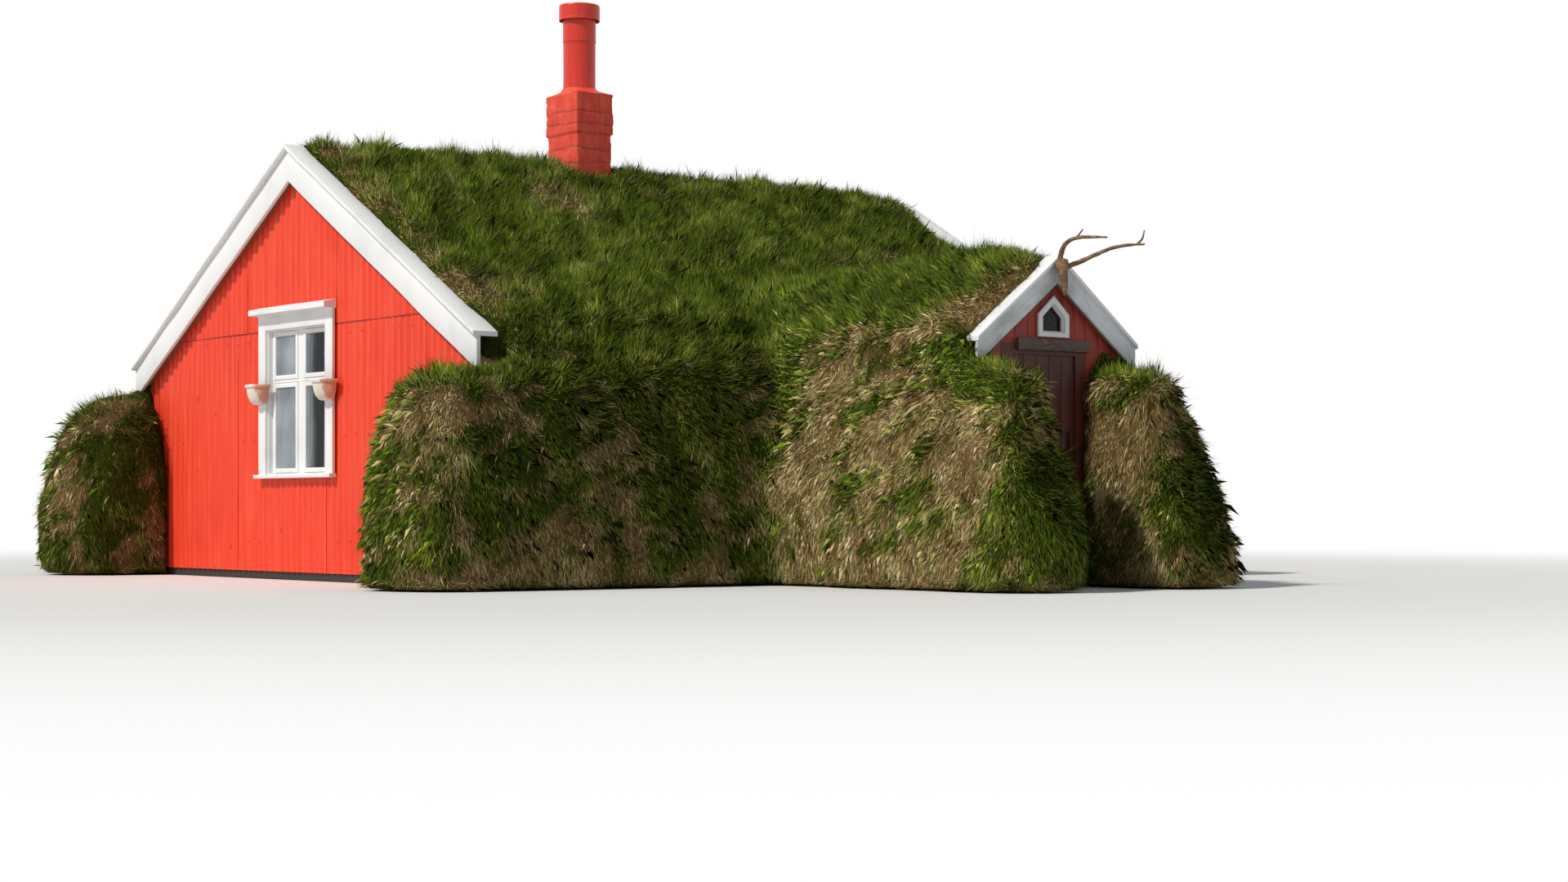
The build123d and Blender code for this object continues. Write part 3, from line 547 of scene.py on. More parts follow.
def potLook():
    # Terracotta on the side towards -Y and whitewash over the rest, with a ragged edge between them.
    look = Look("wallPot", Roughness=0.7)
    spot = look.place()
    sideways = look.split(look.attribute("grain"))[1]
    coat = look.step(look.noise(22, 5, spot, 0.6) * 0.12 + sideways, -0.03, 0.0)
    clay = look.mix(look.noise(16, 3, spot), (192, 126, 100), (220, 164, 138))
    whitewash = look.mix(look.noise(30, 3, spot), (214, 206, 192), (240, 236, 226))
    look.feed("Base Color", look.mix(coat, clay, whitewash))
    look.bump(look.noise(45, 3, spot) + coat * 0.5, 0.25, 0.002)
    return look.material


def soilLook():
    look = Look("potSoil", Roughness=0.95)
    crumb = look.noise(90, 5)
    look.feed("Base Color", look.mix(crumb, (34, 24, 16), (92, 70, 48)))
    look.bump(crumb, 0.8, 0.006)
    return look.material


def ironLook():
    look = Look("oldIron", Metallic=0.6)
    rust = look.noise(40, 5)
    look.feed("Base Color", look.mix(look.step(rust, 0.45, 0.6), (40, 38, 38), (92, 50, 30)))
    look.feed("Roughness", rust * 0.4 + 0.45)
    look.bump(rust, 0.3, 0.001)
    return look.material


def antlerLook():
    # Weathered bone: brown, paler in patches, with fine furrows along the beams.
    look = Look("antlerBone", Roughness=0.6)
    spot = look.place()
    furrow, patch = look.noise(60, 4, look.stretch(spot, (1, 0.2, 1)), 0.6), look.noise(12, 4, spot)
    colour = look.mix(look.step(patch, 0.35, 0.7), (100, 74, 50), (160, 128, 92))
    look.feed("Base Color", look.mix(look.step(furrow, 0.55, 0.4) * 0.5, colour, (66, 42, 28)))
    look.bump(furrow + patch * 0.4, 0.5, 0.003)
    return look.material


looks = {
    "redSheet": paintedSheetLook(),
    "whitePaint": paintedWoodLook("whitePaint", (240, 241, 241), (231, 233, 234), (168, 160, 146),
                                  (150, 150, 138), wear=0.84, grime=0.12),
    "porchWhite": paintedWoodLook("porchWhite", (228, 232, 236), (206, 212, 218), (120, 112, 98),
                                  (104, 108, 92), wear=0.74, grime=0.5),
    "porchRed": paintedWoodLook("porchRed", (158, 42, 20), (130, 32, 18), (84, 40, 30),
                                (70, 22, 16), wear=0.8, roughness=0.55),
    "doorPaint": paintedWoodLook("doorPaint", (84, 28, 20), (58, 20, 16), (92, 62, 48),
                                 (30, 20, 16), wear=0.76, roughness=0.6),
    "darkPlank": paintedWoodLook("darkPlank", (96, 80, 76), (72, 58, 56), (150, 136, 124),
                                 (34, 28, 26), wear=0.66, roughness=0.75),
    "chimneyPaint": masonryPaintLook(), "fluePaint": fluePaintLook(),
    "turf": turfLook(), "blades": bladeLook(), "glass": glassLook(), "cloth": clothLook(),
    "pot": potLook(), "soil": soilLook(), "iron": ironLook(), "antler": antlerLook(),
    "floor": rawBoardsLook("floorBoards", (150, 122, 90), (104, 80, 56), 0.145, 1),
    "lining": rawBoardsLook("liningBoards", (186, 152, 112), (140, 108, 76), 0.12, 0),
    "gableLining": rawBoardsLook("gableLiningBoards", (186, 152, 112), (140, 108, 76), 0.12, 1),
    "roofBoards": rawBoardsLook("roofBoards", (150, 120, 86), (104, 80, 56), 0.15, 0),
}
print("stage 2: finishes ready")


# CAD pieces that keep their shape and get a finish

keptNodes = {
    "floor": ["main_floor", "porch_floor"],
    "lining": ["front_board_walls", "front_lintel", "back_board_wall"],
    "gableLining": ["left_gable_wall", "right_gable_wall"],
    "roofBoards": ["roof_boards_front", "roof_boards_back", "porch_roof_boards"],
    "glass": ["left_window_glass", "right_window_glass", "porch_window_glass"],
    "iron": ["door_fittings", "door_hinges"],
    "doorPaint": ["door_frame"],
}
for lookName, names in keptNodes.items():
    for name in names:
        nodes[name].data.materials.clear()
        nodes[name].data.materials.append(looks[lookName])


# Corrugated gables

sheets = {
    "pitch": 0.0945,             # one wave
    "depth": 0.019,              # from hollow to crest
    "thick": 0.0018,
    "samples": 6,                # points in one wave
    "wavesInSheet": 8,
    "lapHeight": 1.98,           # foot of the upper course
    "lap": 0.08,
    "sideLap": 0.6,              # in waves
    "upperSeam": -0.66,          # where one joint of each course is, from the ridge
    "lowerSeam": -1.99,
    "lapStep": 0.0015, "proud": 0.004, "seamStep": 0.003,
    "narrowest": 0.02, "shortest": 0.15,
    "underCasing": (0.08, 0.03, 0.13),     # how far sheets run under the casing's sides, foot and head
    "dent": 0.0016,
    "nailRows": (0.30, 1.12, 1.90, 2.02, 2.62),
    "nailRadius": 0.009, "nailStray": 0.006,
    "nailClear": (0.09, 0.05, 0.2, 0.05),  # from the hole's sides, foot and head, and from the slope
}
gableLow, gableHigh = span("left_gable_sheets")
verge = {"ridge": span("left_verge_caps")[1][2], "slope": 0.565, "half": span("left_gable_barges")[1][1]}
underBoards = verge["ridge"] - gableHigh[2]


def roofLine(distance, drop=0.0):
    return verge["ridge"] - verge["slope"] * np.abs(distance) - drop


def sheetSpans(seam, reach, holeHalf):
    # The stretches of one course, sheet by sheet, with a cut at each side of the window.
    s = sheets
    width = s["wavesInSheet"] * s["pitch"]
    first = seam - math.ceil((seam + gableHigh[1]) / width) * width
    for number, start in enumerate(np.arange(first, gableHigh[1] + width, width)[:-1]):
        cuts = [max(start, -reach), min(start + width + s["sideLap"] * s["pitch"], reach)]
        if cuts[1] - cuts[0] < s["narrowest"]:
            continue
        cuts = sorted(cuts + [cut for cut in (-holeHalf, holeHalf) if cuts[0] < cut < cuts[1]])
        for low, high in zip(cuts[:-1], cuts[1:]):
            yield number, low, high


def gableSheets(side):
    # Two courses of lapped sheets, above and below the window where they meet it, and nails on the crests.
    s = sheets
    stock = Stock()
    casingLow, casingHigh = span("left_window_casing")
    sides, foot, head = s["underCasing"]
    holeHalf, holeFoot, holeHead = casingHigh[1] - sides, casingLow[2] + foot, casingHigh[2] - head
    halfWide, crest = gableHigh[1], gableLow[0]
    courses = ((gableLow[2], s["lapHeight"] + s["lap"], s["lowerSeam"], s["lapStep"]),
               (s["lapHeight"], gableHigh[2], s["upperSeam"], -s["proud"]))
    for course, (foot, head, seam, back) in enumerate(courses):
        reach = min(halfWide, (gableHigh[2] - foot) / verge["slope"] - s["narrowest"])
        for number, low, high in sheetSpans(seam, reach, holeHalf):
            face = crest + back - s["seamStep"] * (number % 2)
            atWindow = abs((low + high) / 2) < holeHalf
            for bottom, top in ((foot, holeFoot), (holeHead, head)) if atWindow else ((foot, head),):
                if top - bottom >= s["shortest"]:
                    addWave(stock, low, high, max(bottom, foot), top, face, course * 10 + number)
    draw = np.random.default_rng(31)
    sides, under, over, slope = s["nailClear"]
    for row, height in enumerate(s["nailRows"]):
        places = np.arange(-halfWide + s["pitch"] * (0.5 + row % 2), halfWide, s["pitch"] * 2)
        beside = np.abs(places) > holeHalf + sides
        places = places[beside | (height < holeFoot - under) | (height > holeHead + over)]
        places = places[height < roofLine(places, underBoards) - slope]
        addNails(stock, crest - 0.001, np.round(places / s["pitch"]) * s["pitch"], height, draw)
    stock.placeOn(side)
    name = sideNames[side] + "_gable_sheets"
    finishPiece(name + "_wave", stock, "redSheet", "red_sheet", name)


def addWave(stock, low, high, foot, head, crest, seed):
    # Depth is a cosine across the sheet; each column ends at the lower of the sheet's head and the roof line.
    s = sheets
    columns = max(4, int(round((high - low) / s["pitch"] * s["samples"])) + 1)
    rows = max(2, int(head - foot) * 3 + 2)
    across = np.linspace(low, high, columns)
    top = np.maximum(np.minimum(head, roofLine(across, underBoards)), foot + 0.01)
    share = np.linspace(0, 1, rows)[:, None]
    y = np.repeat(across[None], rows, 0)
    x = crest + s["depth"] / 2 * (1 - np.cos(2 * np.pi * y / s["pitch"]))
    points = np.stack([x, y, foot * (1 - share) + top * share], -1)
    points[..., 0] += s["dent"] * lumps(points, 0.5, 7 + seed, 2)
    back = points + (s["thick"], 0, 0)
    shell(stock, points[:, ::-1], back[:, ::-1], tone=np.random.default_rng(seed).uniform())


def addNails(stock, face, places, height, draw):
    # Low domes of eight sides on the crests: a rim, a shoulder, a narrow ring and the top.
    count, turn, ring = len(places), np.linspace(0, 2 * np.pi, 8, endpoint=False), np.arange(8)
    out, share = np.array([(0.001, 1.0), (-0.002, 0.85), (-0.0045, 0.4)]).T[..., None]
    around = share * sheets["nailRadius"]
    rings = np.stack([out + 0 * turn, around * np.cos(turn), -around * np.sin(turn)], -1)
    dome = np.concatenate([rings.reshape(-1, 3), [(-0.005, 0, 0)]])
    stray = draw.normal(0, sheets["nailStray"], count)
    centre = np.stack([np.full(count, face), places, height + stray], -1)
    tris = np.stack([16 + ring, 16 + (ring + 1) % 8, np.full(8, 24)], -1)
    base = np.arange(count)[:, None, None] * len(dome)
    stock.add(centre[:, None] + dome, ringQuads(3, 8) + base, tris + base, tone=0.9)


# Barge boards and the broad boards that cap the turf's edge

mainVerge = {"half": 2.84, "slope": 0.565, "bargeDeep": 0.25, "bargeThick": 0.03, "capThick": 0.03,
             "capWide": 0.2, "capOut": 0.035, "capPast": 0.015, "corner": 0.004, "wave": 0.003}
porchVerge = {"half": 0.77, "slope": 0.773, "bargeDeep": 0.165, "bargeThick": 0.025, "capThick": 0.025,
              "capWide": 0.153, "capOut": 0.02, "capPast": 0.01, "corner": 0.004, "wave": 0.002}


def vergeBoards(v, apex, out, sideways, barge, cap, seed):
    # Two boards each way from the apex: barges upright against the gable's edge, caps flat on the slope.
    out, sideways, apex = (np.asarray(part, float) for part in (out, sideways, apex))
    cosine = 1 / math.hypot(1, v["slope"])
    rise = v["capThick"] / cosine
    ends = {"endA": sideways, "endB": sideways, "wave": v["wave"]}
    for number, way in enumerate((-1, 1)):
        fall = sideways * way - np.array([0, 0, v["slope"]])
        start = apex - out * v["bargeThick"] / 2 - (0, 0, rise + v["bargeDeep"] / 2)
        board(barge, start, start + fall * v["half"], np.cross(out, unit(fall)), v["bargeDeep"] * cosine,
              v["bargeThick"], v["corner"], seed=seed + number, **ends)
        start = apex + out * (v["capOut"] - v["capWide"] / 2) - (0, 0, rise / 2)
        board(cap, start, start + fall * (v["half"] + v["capPast"]), out, v["capWide"], v["capThick"],
              v["corner"], seed=seed + number + 5, **ends)


def mainVerges():
    for side, name in sideNames.items():
        low, high = span(name + "_gable_barges")
        barge, cap = Stock(), Stock()
        face = low[0] if side < 0 else high[0]
        vergeBoards(mainVerge, (face, 0, verge["ridge"]), (side, 0, 0), (0, 1, 0), barge, cap, 40 + side * 10)
        finishPiece(name + "_barge_boards", barge, "whitePaint", "white_paint", name + "_gable_barges")
        finishPiece(name + "_cap_boards", cap, "whitePaint", "white_paint", name + "_verge_caps")


# Gable windows

window = {
    "half": 0.5, "foot": 0.83, "head": 1.98, "casing": 0.12, "casingThick": 0.025,
    "sillOut": 0.035, "sillThick": 0.03, "lip": 0.02,
    "corniceReach": 0.08, "corniceFront": 0.045, "corniceWall": 0.07, "corniceEdge": 0.004,
    "liningSides": 0.012, "liningFoot": 0.010,
    "stile": 0.036, "gap": 0.003, "proud": 0.006, "deep": 0.034, "setBack": 0.008,
    "lights": ((0.88, 1.52), (1.62, 1.93)), "lightSides": (0.085, 0.425),  # foot and head; from the middle
}


def windowCasing(side):
    # Upright boards, a head board, a sill, a cornice carried along its outline, and thin boards that line the
    # opening back to the sash.
    w = window
    half, outer, head = w["half"], w["half"] + w["casing"], w["head"] + w["casing"]
    back = span("left_window_casing")[1][0]
    front, reach, edge = back - w["casingThick"], outer + w["lip"], w["corniceEdge"]
    stock = Stock()
    for way in (-1, 1):
        boxBoard(stock, (front, way * half, w["foot"]), (back, way * outer, head - 0.002), 2, seed=3 + way,
                 wave=0.001)
    boxBoard(stock, (front + 0.002, -half + 0.001, w["head"]), (back, half - 0.001, head), 1, seed=6)
    boxBoard(stock, (front - w["sillOut"], -reach, w["foot"] - w["sillThick"]), (back, reach, w["foot"]), 1,
             corner=0.006, seed=8)
    tip, frontHead = front - w["corniceReach"], head + w["corniceFront"]
    outline = [(back, head - edge), (back, head + w["corniceWall"]), (tip + 0.006, frontHead + 0.002),
               (tip, frontHead - edge), (tip, head + edge), (tip + edge, head), (front, head),
               (front, head - edge)]
    outline = np.array([(z - head, x - back) for x, z in reversed(outline)])
    carry(stock, outline, (back, -reach, head), (back, reach, head), (0, 0, 1), seed=11, wave=0.0015)
    inside, sides = span("left_window_sash")[0][0] + w["setBack"], w["liningSides"]
    for way in (-1, 1):
        boxBoard(stock, (back - 0.003, way * (half - sides), w["foot"]),
                 (inside, way * (half + 0.001), w["head"]), 2, seed=13 + way)
    for level, step in ((w["foot"], w["liningFoot"]), (w["head"], -sides)):
        boxBoard(stock, (back - 0.003, -half + sides, level), (inside, half - sides, level + step), 1,
                 seed=16)
    stock.placeOn(side)
    name = sideNames[side] + "_window_casing"
    finishPiece(name + "_boards", stock, "whitePaint", "white_paint", name, sharp=40)


def windowSash(side):
    # A fixed frame with its mullion and transom, and four hinged lights that stand a little proud of it.
    w, stile = window, window["stile"]
    low, high = span("left_window_sash")
    back, front = high[0] - 0.002, low[0] + w["setBack"]
    stock = Stock()
    inner, outer = w["lightSides"]
    rim = stile + w["gap"]
    (lowFoot, lowHead), (highFoot, highHead) = w["lights"]
    for way in (-1, 1):
        boxBoard(stock, (front, way * (outer + rim), w["foot"]), (back, way * w["half"], w["head"]), 2,
                 seed=20 + way)
    for foot, head in ((w["foot"], lowFoot - rim), (lowHead + rim, highFoot - rim),
                       (highHead + rim, w["head"])):
        boxBoard(stock, (front, -outer - rim, foot), (back, outer + rim, head), 1, corner=0.002, seed=23)
    for foot, head in ((lowFoot - rim, lowHead + rim), (highFoot - rim, highHead + rim)):
        boxBoard(stock, (front, -inner + rim, foot), (back, inner - rim, head), 2, seed=25)
    face = front - w["proud"]
    rear = face + w["deep"]
    for foot, head in w["lights"]:
        for way in (-1, 1):
            near, far = way * inner, way * outer
            for edge, step in ((near, -way * stile), (far, way * stile)):
                boxBoard(stock, (face, edge, foot - stile), (rear, edge + step, head + stile), 2, seed=27)
            for edge, step in ((foot, -stile), (head, stile)):
                boxBoard(stock, (face + 0.001, near, edge), (rear, far, edge + step), 1, seed=29)
    stock.placeOn(side)
    name = sideNames[side] + "_window_sash"
    finishPiece(name + "_frames", stock, "whitePaint", "white_paint", name)


curtain = {"hung": {"a": (0.19, 0.54), "b": (-0.36, 0.22)},  # middle and hung width, seen from outside
           "foldDepth": 0.011, "foldPitch": 0.062, "thick": 0.0012, "fromGlass": 0.018, "inside": 0.01,
           "columns": 56, "rows": 20}


def curtains():
    # Folds are a wave across the cloth, deeper and looser towards the hem.
    c = curtain
    low, high = span("window_curtains")
    drop = high[2] - low[2] - 2 * c["inside"]
    for side in sideNames:
        for letter, (place, wide) in c["hung"].items():
            across = np.linspace(0, 1, c["columns"])[None]
            down = np.linspace(0, 1, c["rows"])[:, None]
            wave = 2 * np.pi * (across * wide / c["foldPitch"] + 0.12 * np.sin(4 * across + 2 * down))
            depth = c["foldDepth"] * (0.55 + 0.45 * down)
            x = low[0] + c["fromGlass"] + depth * np.sin(wave)
            y = place + (across - 0.5) * wide * (1 - 0.06 * np.sin(np.pi * down))
            y = y + 0.25 * depth * np.cos(wave)
            z = high[2] - c["inside"] - drop * down + 0 * across
            front = np.stack([x, y, z], -1)
            run = np.linalg.norm(np.diff(front, axis=1), axis=-1).sum(1).mean()
            grain = np.stack([np.repeat(across * run, c["rows"], 0), np.repeat(down, c["columns"], 1),
                              np.full_like(x, place)], -1)
            stock = Stock()
            shell(stock, front, front + (c["thick"], 0, 0), grain=grain)
            stock.placeOn(side)
            name = f"{sideNames[side]}_curtain_{letter}"
            piece = finishPiece(name, stock, "cloth", "curtain", "window_curtains")


pot = {
    "wider": 1.3, "deeper": 1.1,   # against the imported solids
    "outline": ((0, 0.012), (0.35, 0.0), (0.52, 0.03), (0.72, 0.2), (0.84, 0.45), (0.89, 0.7), (0.905, 0.82),
                (0.97, 0.84), (1.0, 0.88), (1.0, 0.97), (0.97, 1.0), (0.88, 1.0), (0.86, 0.96), (0.86, 0.8)),
    "soil": ((0.875, 0.8), (0.5, 0.86), (0.0, 0.88)),
    "turns": 33, "uneven": 0.0012,
}


def wallPots():
    # Half bowls, wider than deep: a curve swells to a broad rim, whose inside drops to the soil.
    low, high = span("window_pots")
    size = (high[0] - low[0], high[2] - low[2])
    profile, soilLine = np.array(pot["outline"]) * size, np.array(pot["soil"]) * size
    turn = np.linspace(np.pi / 2, 3 * np.pi / 2, pot["turns"])
    for number, way in enumerate((-1, 1)):
        stock, soil = Stock(), Stock()
        centre = np.array([high[0] - 0.001, way * (high[1] - size[0]), low[2]])
        for target, line in ((stock, profile), (soil, soilLine)):
            points = np.stack([centre[0] + line[:, :1] * pot["deeper"] * np.cos(turn),
                               centre[1] + line[:, :1] * pot["wider"] * np.sin(turn),
                               centre[2] + line[:, 1:] + 0 * turn], -1)
            points += pot["uneven"] * lumps(points, 0.08, 5 + number, 2)[..., None]
            points[:, (0, -1), 0] = centre[0]
            target.add(points, ringQuads(len(line), len(turn), closed=False), grain=points - centre)
        backWall = profile[:, :1] * pot["wider"] * np.array([1, -1])
        wall = np.stack([np.full_like(backWall, centre[0]), centre[1] + backWall,
                         np.repeat(centre[2] + profile[:, 1:], 2, 1)], -1)
        stock.add(wall, ringQuads(len(profile), 2, closed=False), grain=wall - centre)
        finishPiece(f"wall_pot_{number}", stock, "pot", "pot", "window_pots", merge=0.0004)
        finishPiece(f"wall_pot_{number}_soil", soil, "soil", "pot", merge=0.0004)


# Chimney and flue

chimney = {
    "step": 0.012, "neck": 3.71,   # how much wider it is above the neck, and the neck's height
    "sides": 26, "rows": 74, "fromHeight": 3.2,
    "courses": (3.47, 3.585, 3.79, 3.905), "groove": 0.007, "grooveHalf": 0.006, "wavy": 0.018,
    "rough": 0.0045, "softCorner": 0.003, "chipped": 0.008, "crown": 0.035,
    # the mortar: share of the way in to the pipe, and height over the crown
    "collar": ((0.0, 0.004), (0.12, 0.010), (0.45, 0.026), (0.8, 0.04), (1.0, 0.062), (1.0, 0.02)),
}
flue = {"seam": 4.51, "lap": 0.004, "bead": 0.007, "wall": 0.006, "jointTurn": 2.9, "joint": 0.003,
        "sides": 72, "straps": (0, 120, 240), "strapWide": 0.028, "strapThick": 0.012}


def chimneyStack():
    # Round the outline and up the height: a square with soft corners, drawn in by the courses' wavy joints
    # and by noise, and wider above the neck.
    c = chimney
    low, high = span("chimney_stack")
    centre, half, top = (low + high) / 2, (high - low) / 2, high[2] - c["crown"]
    share = np.linspace(0, 1, 4 * c["sides"], endpoint=False)
    count, ring = len(share), np.arange(len(share))
    side = np.floor(share * 4).astype(int)
    local, one = (share * 4 - side) * 2 - 1, np.ones(count)
    squareX = np.choose(side, [one, -local, -one, local])
    squareY = np.choose(side, [local, one, -local, -one])
    outward = np.array([(1.0, 0, 0), (0, 1, 0), (-1, 0, 0), (0, -1, 0)])[side]
    heights = np.concatenate([[low[2]], np.linspace(c["fromHeight"], top - 0.004, c["rows"])])
    z, x = np.meshgrid(heights, squareX, indexing="ij")
    y = np.repeat(squareY[None], len(heights), 0)
    narrower = np.where(z < c["neck"], c["step"], 0)
    points = np.stack([centre[0] + x * (half[0] - narrower), centre[1] + y * (half[1] - narrower), z], -1)
    inward = np.zeros_like(z)
    for number, course in enumerate(c["courses"]):
        wavy = course + c["wavy"] * lumps(points * (1, 1, 0), 0.5, 60 + number, 2)
        depth = c["groove"] * (0.6 + 0.5 * lumps(points * (1, 1, 0), 0.25, 70 + number, 1))
        inward += np.clip(depth, 0, 1) * np.exp(-((z - wavy) / c["grooveHalf"]) ** 2)
    rough = c["rough"] * (lumps(points, 0.16, 81, 3) * 0.6 - 0.4) - inward
    nearCorner = smooth(0.9, 1.0, np.minimum(np.abs(x), np.abs(y)))
    chips = c["chipped"] * smooth(0.2, 0.9, lumps(points, 0.12, 83, 2))
    rough = rough - nearCorner * (c["softCorner"] + chips)
    points = (points + outward[None] * rough[..., None]
              - unit(np.stack([x, y, 0 * z], -1)) * (nearCorner * c["softCorner"])[..., None])
    turn = np.arctan2(squareY * half[1], squareX * half[0])
    grid = np.concatenate([points, mortarRings(points[-1], turn, centre, top)])
    # Tone is the depth of the course grooves, for the painted shade in them; the mortar round the pipe has
    # none.
    tone = np.concatenate([inward.ravel() / c["groove"], np.zeros(len(c["collar"]) * count)])
    stock = Stock()
    stock.add(grid, ringQuads(len(grid), count), tone=np.clip(tone, 0, 1) * 0.85)
    stock.add(np.concatenate([grid[0], [[centre[0], centre[1], low[2]]]]), [],
              np.stack([np.full(count, count), (ring + 1) % count, ring], -1), tone=0.0)
    finishPiece("chimney_blocks", stock, "chimneyPaint", "chimney_paint", "chimney_stack", merge=0.0003,
                sharp=60)


def mortarRings(edge, turn, centre, top):
    # In over the crown from the stack's last ring: each ring is part of the way to a circle round the pipe.
    low, high = span("flue_pipe")
    radius = (high[0] - low[0]) / 2 - 0.004
    circle = np.stack([centre[0] + radius * np.cos(turn), centre[1] + radius * np.sin(turn)], -1)
    rings = []
    for inwards, rise in chimney["collar"]:
        ring = edge.copy()
        ring[:, :2] = edge[:, :2] * (1 - inwards) + circle * inwards
        ring[:, 2] = top + rise + 0.002 * lumps(ring, 0.2, 88, 2)
        rings.append(ring)
    return np.array(rings)


def fluePipe():
    # Radius up the height: the lower pipe, the lapped seam, the upper pipe, the bead at its mouth, the bore.
    f = flue
    low, high = span("flue_pipe")
    radius = (high[0] - low[0]) / 2 - f["lap"] - f["bead"]

    def seamRidge(turns, heights):
        gap = np.angle(np.exp(1j * (turns + f["jointTurn"]))) * radius
        dent = 0.0012 * lumps(np.stack([np.cos(turns), np.sin(turns), heights * 3], -1), 1.2, 17, 2)
        return f["joint"] * np.exp(-(gap / 0.006) ** 2) + dent

    foot, top, seam = low[2] - 0.03, high[2], f["seam"]
    upper = radius + f["lap"]
    bead = [(upper + f["bead"] * math.sin(turn), top - f["bead"] * (0.8 + 1.2 * math.cos(turn)))
            for turn in np.radians((160, 130, 90, 50, 20, 0))]
    profile = [(radius, z) for z in np.linspace(foot, seam - 0.012, 14)]
    profile += [(radius + 0.002, seam - 0.006), (upper, seam - 0.006), (upper + 0.001, seam)]
    profile += [(upper, z) for z in np.linspace(seam + 0.012, top - 0.024, 8)] + bead
    profile += [(upper - 0.002, top), (radius - f["wall"], top - 0.002), (radius - f["wall"], foot + 0.03)]
    stock = Stock()
    turned(stock, profile, (low + high) / 2, f["sides"], seamRidge)
    finishPiece("flue_tube", stock, "fluePaint", "flue_paint", "flue_pipe", merge=0.0002, sharp=40)
    return (low + high) / 2, radius + f["lap"] + f["bead"]


def flueCowl(centre, beadRadius):
    # A flat lid with a knob and a deep skirt, on three straps that stand on the pipe's bead.
    f = flue
    low, high = span("flue_cowl")
    outer, foot, top, rim = (high[0] - low[0]) / 2, low[2], high[2], high[2] - 0.013
    profile = [(0, top), (0.02, top), (0.026, top - 0.004), (0.028, rim + 0.003), (0.06, rim - 0.0005),
               (0.12, rim - 0.004), (outer - 0.012, rim - 0.009), (outer - 0.004, rim - 0.012),
               (outer, rim - 0.02)]
    profile += [(outer, z) for z in np.linspace(rim - 0.03, foot + 0.012, 7)]
    profile += [(outer + 0.002, foot + 0.006), (outer, foot), (outer - 0.004, foot + 0.001),
                (outer - 0.005, foot + 0.008), (outer - 0.005, rim - 0.026), (0.08, rim - 0.022),
                (0, rim - 0.022)]

    def dents(turns, heights):
        return 0.0015 * lumps(np.stack([np.cos(turns), np.sin(turns), heights], -1), 1.5, 19, 2)

    stock = Stock()
    turned(stock, profile[::-1], centre, f["sides"], dents)
    for turn in np.radians(f["straps"]):
        way = np.array([math.cos(turn), math.sin(turn), 0])
        inside = np.array([centre[0], centre[1], foot + 0.016]) + way * (beadRadius - 0.002)
        board(stock, inside, inside + way * (outer - beadRadius), (0, 0, 1), f["strapWide"], f["strapThick"],
              seed=3, stations=2)
    finishPiece("flue_cap", stock, "fluePaint", "flue_paint", "flue_cowl", merge=0.0002, sharp=40)


for gableSide in sideNames:
    gableSheets(gableSide)
    windowCasing(gableSide)
    windowSash(gableSide)
mainVerges()
curtains()
wallPots()
chimneyStack()
flueCowl(*fluePipe())
print("stage 3: gables, windows and chimney made")


# Porch front

porch = {
    "middle": 0.19, "passage": 0.11, "passageHalf": 0.41, "frameHead": 1.72,
    "plankEdges": (-0.735, -0.61, -0.49, -0.36, -0.235, -0.108, 0, 0.108, 0.22, 0.33, 0.46, 0.6, 0.735),
    # five-sided outlines: half width, and the heights of the foot, shoulders and peak
    "light": (0.108, 1.805, 1.915, 2.010), "casing": (0.15, 1.772, 1.933, 2.066),
    "lining": (0.098, 1.815, 1.911, 1.999), "liningDeep": 0.022,
    "underRoof": 0.182, "ridge": 2.35,
}


def porchLine(distance, drop=0.0):
    return porch["ridge"] - porchVerge["slope"] * abs(distance) - drop


def porchPlanks():
    # Upright planks under the slope; those over the door are short, and two are cut round the small window.
    p = porch
    low, high = span("porch_gable_wall")
    front, back = low[1], high[1]
    stock = Stock()
    frameLeft, frameRight = (p["passage"] + way * p["passageHalf"] - p["middle"] for way in (-1, 1))
    half, foot, shoulder, peak = p["light"]
    for number, (left, right) in enumerate(zip(p["plankEdges"][:-1], p["plankEdges"][1:])):
        middle = (left + right) / 2
        bottom = p["frameHead"] if frameLeft - 0.01 < middle < frameRight + 0.01 else low[2]
        top = porchLine(middle, p["underRoof"])
        slope = (math.copysign(porchVerge["slope"], middle), 0, 1)
        x = p["middle"] + middle
        y = (front + back) / 2
        runs = [(bottom, top, (0, 0, 1), slope)]
        if abs(middle) < half:
            over = shoulder + (peak - shoulder) * (1 - abs(middle) / half)
            cut = (math.copysign((peak - shoulder) / half, middle), 0, 1)
            runs = [(bottom, foot, (0, 0, 1), (0, 0, 1)), (over, top, cut, slope)]
        for start, end, startCut, endCut in runs:
            board(stock, (x, y, start), (x, y, end), (1, 0, 0), right - left - 0.002, back - front, 0.004,
                  endA=startCut, endB=endCut, wave=0.0008, seed=100 + number)
    finishPiece("porch_planks", stock, "porchRed", "dark_red_boards", "porch_gable_wall")


def porchCasing():
    # Round the small window, five boards outside and five thinner ones that line its opening to the glass.
    p = porch
    low, high = span("porch_window_casing")
    stock = Stock()
    pentagonBoards(stock, "light", "casing", low[1], high[1], 130)
    pentagonBoards(stock, "lining", "light", high[1] - 0.004, high[1] + p["liningDeep"], 140)
    finishPiece("porch_window_boards", stock, "whitePaint", "grey_white_paint", "porch_window_casing")


